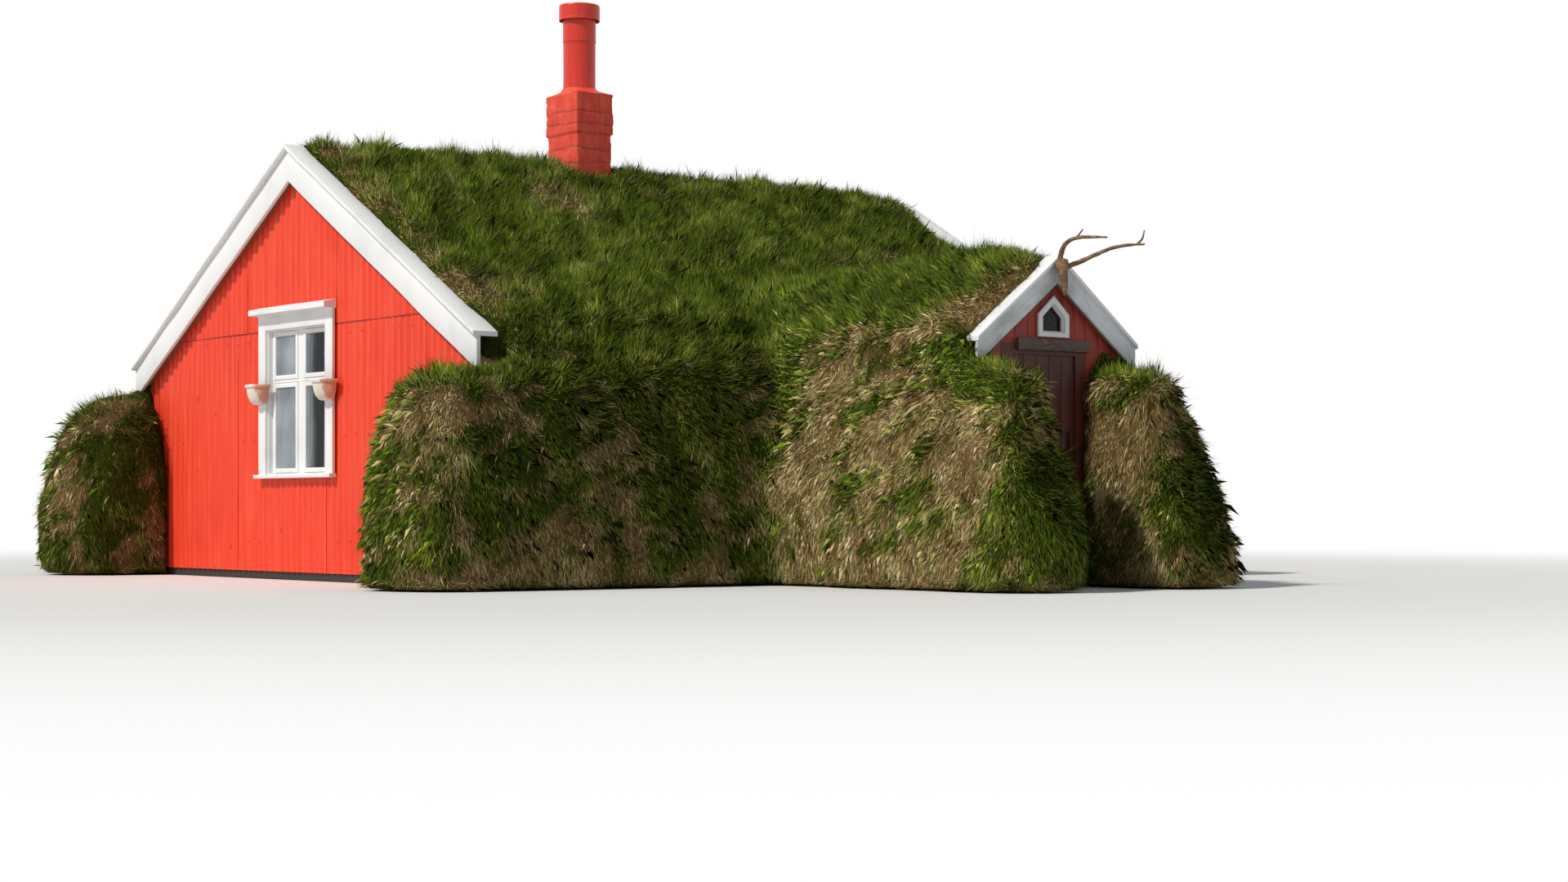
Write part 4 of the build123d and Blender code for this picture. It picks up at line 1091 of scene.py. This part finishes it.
def pentagonBoards(stock, innerKey, outerKey, front, back, seed):
    # Five boards between two pentagons, mitred where they meet.
    p = porch
    inner, outer = (np.array(corners(p["middle"], *p[key])) for key in (innerKey, outerKey))
    y = (front + back) / 2
    middle = (inner + outer) / 2
    for i in range(5):
        j = (i + 1) % 5
        cuts = []
        for k in (i, j):
            mitre = outer[k] - inner[k]
            cuts.append((-mitre[1], 0, mitre[0]))
        heading = middle[j] - middle[i]
        across = np.array([-heading[1], 0, heading[0]])
        width = abs(np.dot(outer[i] - inner[i], unit(np.array([-heading[1], heading[0]]))))
        board(stock, (middle[i][0], y, middle[i][1]), (middle[j][0], y, middle[j][1]), across, width,
              back - front, min(0.003, width / 4), endA=cuts[0], endB=cuts[1], seed=seed + i, stations=3)


def corners(middle, half, foot, shoulder, peak):
    return [(middle - half, foot), (middle + half, foot), (middle + half, shoulder), (middle, peak),
            (middle - half, shoulder)]


def porchFront():
    p = porch
    low, high = span("porch_barges")
    barge, cap = Stock(), Stock()
    vergeBoards(porchVerge, (p["middle"], low[1], p["ridge"]), (0, -1, 0), (1, 0, 0), barge, cap, 150)
    finishPiece("porch_barge_boards", barge, "porchWhite", "grey_white_paint", "porch_barges")
    finishPiece("porch_cap_boards", cap, "whitePaint", "grey_white_paint", "porch_verge_caps")
    low, high = span("porch_sign")
    sign = Stock()
    middle = (low + high) / 2
    board(sign, (low[0], *middle[1:]), (high[0], *middle[1:]), (0, 0, 1), high[2] - low[2] - 0.006,
          high[1] - low[1], 0.006, wave=0.0022, seed=161, stations=24)
    finishPiece("sign_plank", sign, "darkPlank", "dark_plank", "porch_sign")


door = {"boards": 5, "gap": 0.001}


def doorLeaf():
    # Upright boards, close together.
    low, high = span("door_leaf")
    stock = Stock()
    edges = np.linspace(low[0], high[0], door["boards"] + 1)
    for number, (left, right) in enumerate(zip(edges[:-1], edges[1:])):
        boxBoard(stock, (left + door["gap"], low[1], low[2]), (right - door["gap"], high[1], high[2]), 2,
                 corner=0.005, seed=170 + number)
    finishPiece("door_boards", stock, "doorPaint", "door_paint", "door_leaf", body="door")


# Points in millimetres from the base: a tube's middle and radius, or the skull's middle and half sizes
antler = {
    "base": (0.17, -5.186, 2.30),
    "leftBeam": ((-15, 10, 0, 20), (-40, -45, 75, 18), (-80, -140, 122, 15), (-118, -290, 136, 13),
                 (-145, -450, 124, 11), (-160, -600, 108, 6)),
    "rightBeam": ((40, 10, -40, 20), (90, -110, 0, 17), (130, -230, 45, 15), (170, -340, 80, 13),
                  (215, -450, 92, 11), (250, -560, 90, 6)),
    "leftTine": ((-76, -130, 118, 10), (-50, -195, 150, 8), (-30, -240, 205, 4)),
    "rightTine": ((232, -500, 92, 9), (255, -530, 130, 8), (262, -545, 190, 4)),
    "skull": ((0, 0, 18, 30, 22), (0, 0, 12, 46, 32), (0, 0, -10, 52, 37), (0, 0, -45, 50, 38),
              (3, -5, -80, 41, 32), (8, -12, -130, 32, 26), (10, -16, -190, 22, 20), (12, -18, -235, 17, 15),
              (12, -18, -246, 8, 8)),
}


def antlers():
    # Beams and tines are tubes; the skull is a squashed ring carried down, pressed in at the eye sockets.
    base = np.array(antler["base"])
    stock = Stock()
    for number, key in enumerate(("leftBeam", "rightBeam", "leftTine", "rightTine")):
        table = np.array(antler[key]) / 1000
        tube(stock, base + table[:, :3], table[:, 3], rough=0.12, seed=number)
    table = np.array(antler["skull"]) / 1000
    rows, sides = 33, 24
    table = curveThrough(table, np.linspace(0, 1, len(table)), np.linspace(0, 1, rows))
    turn = np.linspace(0, 2 * np.pi, sides, endpoint=False)
    squash = 1 + 0.12 * np.cos(2 * turn) ** 2
    points = np.stack([base[0] + table[:, :1] + table[:, 3:4] * np.cos(turn) * squash,
                       base[1] + table[:, 1:2] - table[:, 4:5] * np.sin(turn) * squash,
                       base[2] + table[:, 2:3] + 0 * turn], -1)
    away = points - (base + table[:, None, :3])
    socket = np.exp(-((np.abs(points[..., 0] - base[0]) - 0.045) / 0.014) ** 2
                    - ((points[..., 2] - base[2] + 0.075) / 0.02) ** 2)
    points -= unit(away) * (socket * 0.012 + 0.0016 * lumps(points, 0.05, 4, 2))[..., None]
    poles = [part.mean(1, keepdims=True).repeat(sides, 1) for part in (points[:1], points[-1:])]
    stock.add(np.concatenate([poles[0], points, poles[1]]), ringQuads(rows + 2, sides))
    finishPiece("antlers_and_skull", stock, "antler", "antler", "porch_antlers", merge=0.0001, sharp=70)


porchPlanks()
porchCasing()
porchFront()
doorLeaf()
antlers()
print("stage 4: porch front made")


# Turf: one uneven skin over every turf wall and roof, still where it lies against timber, and grass on it

turf = {
    "nodes": ("turf_wall_front_left", "turf_wall_front_right", "turf_wall_back", "turf_roof_front",
              "turf_roof_back", "porch_turf_left", "porch_turf_right", "porch_turf_roof"),
    "voxel": 0.074,
    "softenSteps": 9,
    "broadSwell": (1.3, 0.030), "smallSwell": (0.38, 0.015),   # length and height of the lumps
    "offset": 0.05, "sight": 12, # how far in front of a face, and how far on, timber is looked for
    "reach": 0.09,               # timber nearer than this keeps a face bare
    "sink": 0.010,               # bare faces lie this far back
    "past": 0.10,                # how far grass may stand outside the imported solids' box
}
grass = {
    "inTuft": 2,
    "tuftRadius": 0.014,
    "wide": 0.0046,
    "long": 0.088,
    "dryShorter": 0.1,           # share by which straw is shorter
    "folded": 0.12,              # share of the blades that bend in the middle
    "nearTimber": 0.14,          # nearer than this, blades are shorter and kept off the timber
    "quickShare": 0.3,
}
bladesPerMetre = {"porch_left": 13600, "porch_right": 13200, "roof_left": 10600, "roof_right": 10400,
                  "roof_back": 4000, "wall_front": 9300, "wall_back": 3300}
# No grass under the ends of the verge boards, nor up the door's hinge side where the leaf turns
bareSpots = [((x, y, 1.70), 0.15) for x in (-3.08, 3.08) for y in (-2.88, 2.88)]
bareSpots += [((-0.28, -5.02, step * 0.15), 0.15) for step in range(1, 12)]
# Where the turf sinks under or rises over its general line: middle, reach along X, Y and Z, and height
mounds = (
    ((2.85, -0.70, 3.05), (0.32, 0.5, 0.4), -0.08), ((-3.05, -2.93, 1.72), (0.16, 0.16, 0.16), -0.10),
    ((-0.95, -5.55, 1.60), (0.45, 0.45, 0.45), -0.05), ((-1.05, -3.45, 2.0), (0.5, 0.5, 0.5), 0.06),
    ((-3.0, -3.05, 1.72), (0.4, 0.4, 0.4), -0.05), ((-1.6, -3.08, 1.50), (1.2, 0.25, 0.20), 0.12),
    ((-1.6, -2.9, 1.86), (1.3, 0.2, 0.12), -0.05), ((-0.28, -0.35, 3.42), (0.45, 0.35, 0.3), 0.11),
    ((0.62, 0.0, 3.45), (0.5, 0.6, 0.5), -0.05), ((1.74, 0.0, 3.40), (0.45, 0.6, 0.5), 0.04),
    ((1.40, -5.3, 1.36), (0.4, 1.2, 0.26), -0.17), ((1.35, -5.3, 0.85), (0.4, 1.2, 0.30), -0.06),
    ((0.88, -5.2, 1.76), (0.18, 0.3, 0.16), -0.10), ((1.40, -5.5, 0.15), (0.4, 1.0, 0.35), 0.12),
)
# Dry and green places: middle, reach along X, Y and Z, and how much straw they add
dryPlaces = (
    ((-3.80, -3.30, 0.85), (0.55, 0.55, 0.5), -0.02), ((-3.50, -3.40, 0.25), (0.5, 0.5, 0.5), 0.05),
    ((-2.60, -3.45, 0.9), (0.5, 0.5, 0.5), 0.2), ((-3.40, -3.20, 1.60), (0.5, 0.4, 0.2), -0.5),
    ((-1.60, -3.40, 1.20), (0.7, 0.7, 0.7), -0.3), ((-0.95, -4.60, 0.80), (0.95, 0.95, 0.95), 0.10),
    ((-0.95, -3.60, 1.50), (0.45, 0.45, 0.3), 0.4), ((-0.95, -4.20, 1.86), (0.4, 1.0, 0.09), 0.5),
    ((-0.95, -5.00, 1.66), (0.5, 0.9, 0.10), -0.6), ((-0.50, -4.20, 2.15), (0.4, 0.8, 0.22), -0.5),
    ((-1.10, -4.25, 1.33), (0.4, 0.28, 0.14), -0.6), ((-1.15, -4.93, 0.54), (0.4, 0.2, 0.2), -0.5),
    ((-0.75, -6.00, 0.80), (0.45, 0.4, 0.6), -0.4), ((-0.45, -5.95, 0.45), (0.5, 0.5, 0.5), -0.5),
    ((-0.70, -5.30, 1.60), (0.5, 0.5, 0.3), -0.4), ((-0.20, -4.95, 2.10), (0.4, 0.3, 0.4), 0.6),
    ((0.50, -5.60, 0.80), (0.45, 0.45, 0.45), -0.05), ((1.15, -5.60, 0.70), (0.5, 0.6, 0.6), -0.5),
    ((-0.46, 0.0, 3.45), (0.6, 0.6, 0.6), 0.3), ((-1.20, -0.70, 3.05), (0.22, 0.6, 0.5), 0.45),
    ((-2.80, -0.30, 3.30), (0.3, 0.3, 0.3), 0.4), ((-2.95, -1.40, 2.60), (0.13, 2.0, 1.2), 0.35),
    ((-2.70, -2.50, 2.00), (0.35, 0.35, 0.35), 0.3), ((-0.40, -3.30, 2.35), (0.8, 1.3, 0.45), -0.9),
)
# Painted light and shade on the grass, places made lighter or darker: middle, reach along X, Y and Z, and how
# much lighter
paintedLightAndShade = (
    ((-0.35, -3.70, 2.35), (0.7, 1.5, 0.5), -0.28), ((-1.60, -3.40, 1.20), (0.9, 0.7, 0.9), 0.16),
    ((-0.60, -6.00, 0.80), (0.6, 0.4, 0.8), 0.16), ((0.95, -5.40, 1.00), (0.45, 0.9, 0.7), -0.15),
)


def treeOf(names):
    corners, faces, count = [], [], 0
    for name in names:
        mesh = nodes[name].data
        corners += [vertex.co.copy() for vertex in mesh.vertices]
        faces += [[index + count for index in face.vertices] for face in mesh.polygons]
        count = len(corners)
    return BVHTree.FromPolygons(corners, faces)


def unitedTurf():
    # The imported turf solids, each welded, then remade together as one skin of even quads.
    whole = bmesh.new()
    for name in turf["nodes"]:
        part = bmesh.new()
        part.from_mesh(nodes[name].data)
        bmesh.ops.remove_doubles(part, verts=part.verts, dist=0.0001)
        welded = bpy.data.meshes.new("welded")
        part.to_mesh(welded)
        part.free()
        whole.from_mesh(welded)
        bpy.data.meshes.remove(welded)
    mesh = bpy.data.meshes.new("turf_solids")
    whole.to_mesh(mesh)
    whole.free()
    holder = bpy.data.objects.new("holder", mesh)
    bpy.context.scene.collection.objects.link(holder)
    maker = holder.modifiers.new("even", "REMESH")
    maker.mode, maker.voxel_size = "VOXEL", turf["voxel"]
    done = bpy.data.meshes.new_from_object(holder.evaluated_get(bpy.context.evaluated_depsgraph_get()))
    bpy.data.objects.remove(holder)
    points, quads = np.empty(len(done.vertices) * 3), np.empty(len(done.loops), int)
    done.vertices.foreach_get("co", points)
    done.loops.foreach_get("vertex_index", quads)
    return points.reshape(-1, 3), quads.reshape(-1, 4)


def facings(points, quads):
    # Middle and outward direction of every quad, from its diagonals.
    corner = points[quads]
    return corner.mean(1), unit(np.cross(corner[:, 2] - corner[:, 0], corner[:, 3] - corner[:, 1]))


def openFaces(centres, normals, tree):
    # A face is open when nothing stands close in front of it and the point in front isn't inside a solid.
    result = np.ones(len(centres), bool)
    for number, (centre, normal) in enumerate(zip(centres, normals)):
        way = Vector(normal)
        hit, facing, _, distance = tree.ray_cast(Vector(centre) + way * turf["offset"], way, turf["sight"])
        result[number] = hit is None or (distance > turf["reach"] and facing.dot(way) < 0)
    return result & (normals[:, 2] > -0.7)


def bells(points, places):
    # Sum of soft bell-shaped hills, each with its middle, its reach along X, Y and Z, and its height.
    return sum(height * np.exp(-(((points - middle) / reach) ** 2).sum(-1))
               for middle, reach, height in places)


def strawShare(points, normals):
    # Share of dry grass: more low on walls and in patches a hand to a stride wide, less on level tops, and
    # what the dry and green places add.
    x, y, z = np.moveaxis(points, -1, 0)
    porchSide = smooth(-3.35, -3.6, y) * smooth(1.5, 1.3, np.abs(x - 0.15))
    roof = smooth(1.55, 1.85, z) * (1 - porchSide * smooth(2.2, 1.9, z))
    share = 0.36 + 0.20 * porchSide * (1 - roof) - 0.22 * roof + 0.22 * (1 - roof) * np.clip(0.8 - z, 0, 1)
    share -= 0.22 * (1 - roof) * smooth(0.5, 0.9, normals[..., 2])
    share += (0.30 * lumps(points, 0.9, 301, 2) + 0.30 * lumps(points, 0.24, 302, 3)) * (1 - 0.4 * roof)
    return np.clip(share + bells(points, dryPlaces), 0, 1)


def softened(points, quads, share):
    # Every open point goes part of the way to the middle of its neighbours, several times over.
    first, second = quads.ravel(), np.roll(quads, -1, 1).ravel()
    total = np.bincount(first, minlength=len(points)) + np.bincount(second, minlength=len(points))
    for _ in range(turf["softenSteps"]):
        mean = np.stack([(np.bincount(first, points[second, axis], len(points))
                          + np.bincount(second, points[first, axis], len(points))) / np.maximum(total, 1)
                         for axis in range(3)], -1)
        points = points + (mean - points) * (0.6 * share)[:, None]
    return points


def turfSkin(everything):
    points, quads = unitedTurf()
    centres, normals = facings(points, quads)
    isOpen = openFaces(centres, normals, everything)
    count = len(points)
    share = (np.bincount(quads.ravel(), np.repeat(isOpen, 4), count)
             / np.maximum(np.bincount(quads.ravel(), minlength=count), 1)) ** 2
    # Flat where it goes under the cap boards
    share *= 1 - smooth(2.92, 3.03, np.abs(points[:, 0])) * smooth(1.80, 1.95, points[:, 2])
    points = softened(points, quads, share)
    _, normals = facings(points, quads)
    around = unit(np.stack([np.bincount(quads.ravel(), np.repeat(normals[:, axis], 4), count)
                            for axis in range(3)], -1))
    (broad, broadHigh), (small, smallHigh) = turf["broadSwell"], turf["smallSwell"]
    swell = broadHigh * lumps(points, broad, 201, 2) + smallHigh * lumps(points, small, 202, 3) + 0.012
    level = smooth(0.5, 0.9, around[:, 2]) * smooth(1.75, 1.6, points[:, 2])
    swell = np.where(swell > 0, swell * (1 - 0.9 * level), swell) - 0.02 * level
    rise = bells(points, mounds)
    bare = np.minimum(rise, 0) - turf["sink"]
    points = points + around * (share * (swell + rise) + (1 - share) * bare)[:, None]
    points[:, 2] = np.maximum(points[:, 2], 0)
    stock = Stock()
    stock.add(points, quads, tone=strawShare(points, around))
    finishPiece("turf_sods", stock, "turf", "turf", *turf["nodes"], sharp=80)
    return points, quads[isOpen]


def clearOfTimber(blades, timber):
    # False where a blade's way from root to tip meets timber.
    clear = np.ones(len(blades), bool)
    for number, blade in enumerate(blades):
        root, tip = Vector(blade[0]), Vector(blade[-1])
        way = tip - root
        clear[number] = timber.ray_cast(root - way * 0.2, way, way.length * 1.35)[0] is None
    return clear


def strewTufts(points, quads, perMetre, timber, draw):
    # Tufts are strewn over the open faces by area: a root is mixed from its face's corners by two shares.
    # Straw, length, colour and lean change in patches; each tuft's row is repeated for every blade in it.
    g, corner = grass, points[quads]
    centres, normals = facings(points, quads)
    area = np.linalg.norm(np.cross(corner[:, 2] - corner[:, 0], corner[:, 3] - corner[:, 1]), axis=1) / 2
    near = np.array([timber.find_nearest(Vector(centre), g["nearTimber"])[0] is not None
                     for centre in centres])
    share = 1
    count = int(area.sum() * perMetre * share / (1 + g["folded"]) / g["inTuft"])
    pick = np.searchsorted(np.cumsum(area) / area.sum(), draw.uniform(0, 1, count))
    pick = np.minimum(pick, len(quads) - 1)
    u, v = draw.uniform(0, 1, (2, count, 1))
    c, facing = corner[pick], normals[pick]
    centre = (c[:, 0] * (1 - u) + c[:, 1] * u) * (1 - v) + (c[:, 3] * (1 - u) + c[:, 2] * u) * v
    straws = smooth(0.1, 0.95, strawShare(centre, facing)) * 1.5 - 0.25
    straws = np.clip(straws + draw.normal(0, 0.26, count), 0, 1)
    length = g["long"] * (0.85 + 0.3 * lumps(centre, 0.5, 310, 2)) * draw.lognormal(0, 0.26, count)
    length = length * (1 - g["dryShorter"] * straws)
    # Painted light and shade: some places add to the blades' tone, or take from it.
    tone = 0.48 + 0.2 * lumps(centre, 0.3, 311, 3) + bells(centre, paintedLightAndShade)
    tone = tone + draw.normal(0, 0.08, count)
    drift = np.stack([lumps(centre, 0.8, 320 + axis, 2) for axis in range(3)], -1)
    lean = unit(draw.normal(size=(count, 3)) + 0.7 * drift)
    parts = (centre, facing, lean, straws, length, tone, near[pick])
    return [np.repeat(part, g["inTuft"], 0) for part in parts]


def growBlades(centre, facing, lean, straws, length, nearby, draw):
    # A blade's lower half stands off the turf and leans with its tuft; the steeper the turf and the drier
    # the blade, the more its upper half hangs. Its broad side looks away from the house.
    g, count = grass, len(centre)
    spread = draw.normal(0, g["tuftRadius"], (count, 3))
    root = centre + spread - facing * ((spread * facing).sum(1, keepdims=True) + 0.005)
    up, steep = np.array([0, 0, 1.0]), 1 - np.clip(facing[:, 2:], 0, 1)
    hang = (0.25 + 0.75 * steep) * smooth(0.04, 0.16, root[:, 2:])
    slide, dead = facing * facing[:, 2:] - up, straws[:, None]
    droop = np.maximum(dead, 0.55 * steep)
    first = unit(facing * (0.75 - 0.38 * droop) + slide * (0.2 + 0.9 * droop) * (hang > 0.2) + lean * 0.38
                 + up * (0.35 - 0.35 * droop) + draw.normal(0, 1, (count, 3)) * (0.17 + 0.1 * dead))
    first = unit(first + facing * np.maximum(0, 0.3 - (first * facing).sum(1, keepdims=True)))
    second = unit(first * (1 - 0.6 * hang) + (slide + facing * (0.12 - 0.09 * dead)) * 0.9 * hang
                  + draw.normal(0, 0.14, (count, 3)))
    length = (length * draw.uniform(0.6, 1.2, count) * (1 - 0.25 * nearby))[:, None]
    middle = root + first * length * 0.52
    tip = middle + second * length * 0.5
    outward = unit(unit(facing * (1, 1, 0.1)) + draw.normal(0, 0.35, (count, 3)))
    wide = unit(np.cross(tip - root, outward)) * g["wide"] * draw.uniform(0.6, 1.2, (count, 1))
    return np.stack([root - wide / 2, root + wide / 2, middle + wide * 0.4, tip], 1), root, outward


def keptBlades(blade, root, nearby, timber):
    # Blades in the allowed box, off the ground, away from the bare spots and clear of timber.
    low, high = (np.array(corner) for corner in cadBox)
    inside = ((blade > low - turf["past"]) & (blade < high + turf["past"])).all(-1).all(-1)
    keep = inside & (blade[:, :, 2].min(1) > 0.001)
    for middle, reach in bareSpots:
        keep &= np.linalg.norm(root - middle, axis=1) > reach
    keep[keep & nearby] = clearOfTimber(blade[keep & nearby], timber)
    return keep


def bladeMesh(name, blade, soft, colour, bent):
    # Bent blades are folded quads and come first; straight ones are thin triangles.
    straight, ends = ~bent, (0, 1, 3)
    points = np.concatenate([blade[bent].reshape(-1, 3), blade[straight][:, ends].reshape(-1, 3)])
    colours = np.concatenate([colour[bent].reshape(-1, 3), colour[straight][:, ends].reshape(-1, 3)])
    normals = np.concatenate([np.repeat(soft[bent], 4, 0), np.repeat(soft[straight], 3, 0)])
    folded, single = int(bent.sum()), int(straight.sum())
    starts = np.concatenate([np.arange(folded) * 4, folded * 4 + np.arange(single) * 3])
    mesh = bareMesh(name, points, np.arange(len(points)), starts)
    mesh.polygons.foreach_set("use_smooth", np.ones(len(starts), bool))
    mesh.normals_split_custom_set_from_vertices(normals.astype(np.float32))
    addValues(mesh, "blade", colours)
    print("   ", name, 2 * folded + single, "triangles")
    return mesh


def plantGrass(name, points, quads, perMetre, timber, seed):
    # Grass on one stretch of turf, shaded like the turf under it.
    draw = np.random.default_rng(seed)
    centre, facing, lean, straws, length, tone, nearby = strewTufts(points, quads, perMetre, timber, draw)
    blade, root, outward = growBlades(centre, facing, lean, straws, length, nearby, draw)
    keep = keptBlades(blade, root, nearby, timber)
    blade = blade[keep]
    straws = np.clip(straws[keep] + draw.normal(0, 0.16 + 0.5 * straws[keep]), 0, 1)
    soft = unit(facing + 0.25 * outward + draw.normal(0, 0.16, (len(centre), 3)))[keep]
    tone = np.clip(tone[keep] + draw.normal(0, 0.17 + 0.07 * straws), 0, 1)
    colour = np.zeros((len(blade), 4, 3))
    colour[..., 0], colour[..., 1], colour[..., 2] = tone[:, None], (0, 0, 0.55, 1), straws[:, None]
    bent = draw.uniform(0, 1, len(blade)) < grass["folded"]
    finishPiece(name, bladeMesh(name, blade, soft, colour, bent), "blades", "turf")


def grassBeds(centres):
    # Which stretch of turf each face belongs to.
    x, y, z = centres.T
    porchSide = (y < -3.42) & (np.abs(x - 0.15) < 1.35)
    front, high = ~porchSide & (y < 0), z > 1.72
    indoors = (np.abs(x - 0.11) < 0.5) & (y > -5.0) & (y < -2.0) & (z < 1.82)
    porchSide, front = porchSide & ~indoors, front & ~indoors
    return {"porch_left": porchSide & (x < 0.15), "porch_right": porchSide & (x >= 0.15),
            "roof_left": front & high & (x < 0), "roof_right": front & high & (x >= 0),
            "roof_back": (y >= 0) & high, "wall_front": front & ~high, "wall_back": (y >= 0) & ~high}


timber = treeOf([name for name in nodes if name not in turf["nodes"]])
skinPoints, openQuads = turfSkin(treeOf(nodes))
print("stage 5: turf made")
for number, (bed, chosen) in enumerate(grassBeds(facings(skinPoints, openQuads)[0]).items()):
    plantGrass("grass_" + bed, skinPoints, openQuads[chosen], bladesPerMetre[bed], timber, 400 + number)
print("stage 6: grass planted")


# Floor, light and camera

view = {"place": (-12.52, -18.25, 0.546), "heading": (0.6157, 0.788), "lens": 59.09,
        "horizon": 625, "pictureWide": 1919, "pictureHigh": 1080}   # in pixels, the horizon from the top
studio = {"floor": (228, 228, 226), "floorReach": 120.0, "floorDrop": 0.004, "whiteFrom": 7, "whiteTo": 18,
          "sky": (0.86, 0.93, 1.0), "skyStrength": 0.29,
          "sun": 2.8, "sunColour": (1.0, 0.96, 0.9), "sunAngle": 5, "sunWay": (0.69, -0.02, -0.72)}


def floorLook():
    # Pale and matt; from the camera it turns to the backdrop's white further out.
    look = Look("studioFloor", Roughness=0.9, Base_Color=tint(studio["floor"]))
    away = look.node("ShaderNodeVectorMath", {"operation": "LENGTH"}, {0: look.place()}, 1)
    far = look.step(away, studio["whiteFrom"], studio["whiteTo"])
    seen = look.seenRays()
    glow = look.node("ShaderNodeEmission", None, {"Color": (1, 1, 1, 1), "Strength": 1.0})
    matt = Wire(look, look.shader.outputs[0])
    mixed = look.node("ShaderNodeMixShader", None, {0: far * seen, 1: matt, 2: glow})
    look.tree.links.new(mixed.socket, look.tree.nodes["Material Output"].inputs["Surface"])
    return look.material


def stageFloor():
    mesh = bpy.data.meshes.new("studio_floor")
    reach, level = studio["floorReach"], -studio["floorDrop"]
    mesh.from_pydata([(-reach, -reach, level), (reach, -reach, level), (reach, reach, level),
                      (-reach, reach, level)], [], [(0, 1, 2, 3)])
    mesh.materials.append(floorLook())
    floor = bpy.data.objects.new("studio_floor", mesh)
    bpy.context.scene.collection.objects.link(floor)


def light():
    # The sky lights the house dimly; what the camera sees of it, straight, in gloss or in glass, is white.
    world = bpy.data.worlds.new("studio")
    bpy.context.scene.world = world
    world.use_nodes = True
    sky = Graph(world.node_tree)
    sky.tree.nodes.remove(sky.tree.nodes["Background"])
    dim = {"Color": (*studio["sky"], 1), "Strength": studio["skyStrength"]}
    glow = sky.node("ShaderNodeBackground", None, dim)
    backdrop = sky.node("ShaderNodeBackground", None, {"Color": (1, 1, 1, 1)})
    join = sky.node("ShaderNodeMixShader", None, {0: sky.seenRays(), 1: glow, 2: backdrop})
    sky.tree.links.new(join.socket, sky.tree.nodes["World Output"].inputs["Surface"])
    sun = bpy.data.lights.new("key", "SUN")
    sun.energy, sun.angle, sun.color = studio["sun"], math.radians(studio["sunAngle"]), studio["sunColour"]
    holder = bpy.data.objects.new("key", sun)
    holder.rotation_euler = Vector(studio["sunWay"]).to_track_quat("-Z", "Y").to_euler()
    bpy.context.scene.collection.objects.link(holder)


def camera():
    lens = bpy.data.cameras.new("camera")
    lens.lens, lens.sensor_width = view["lens"], 36
    lens.shift_y = (view["horizon"] - view["pictureHigh"] / 2) / view["pictureWide"]
    lens.clip_end = 400
    holder = bpy.data.objects.new("camera", lens)
    holder.location = view["place"]
    holder.rotation_euler = Vector((*view["heading"], 0)).to_track_quat("-Z", "Y").to_euler()
    bpy.context.scene.collection.objects.link(holder)
    bpy.context.scene.camera = holder


stageFloor()
light()
camera()
bpy.context.scene.view_settings.view_transform = "Standard"
print("stage 7: studio ready")
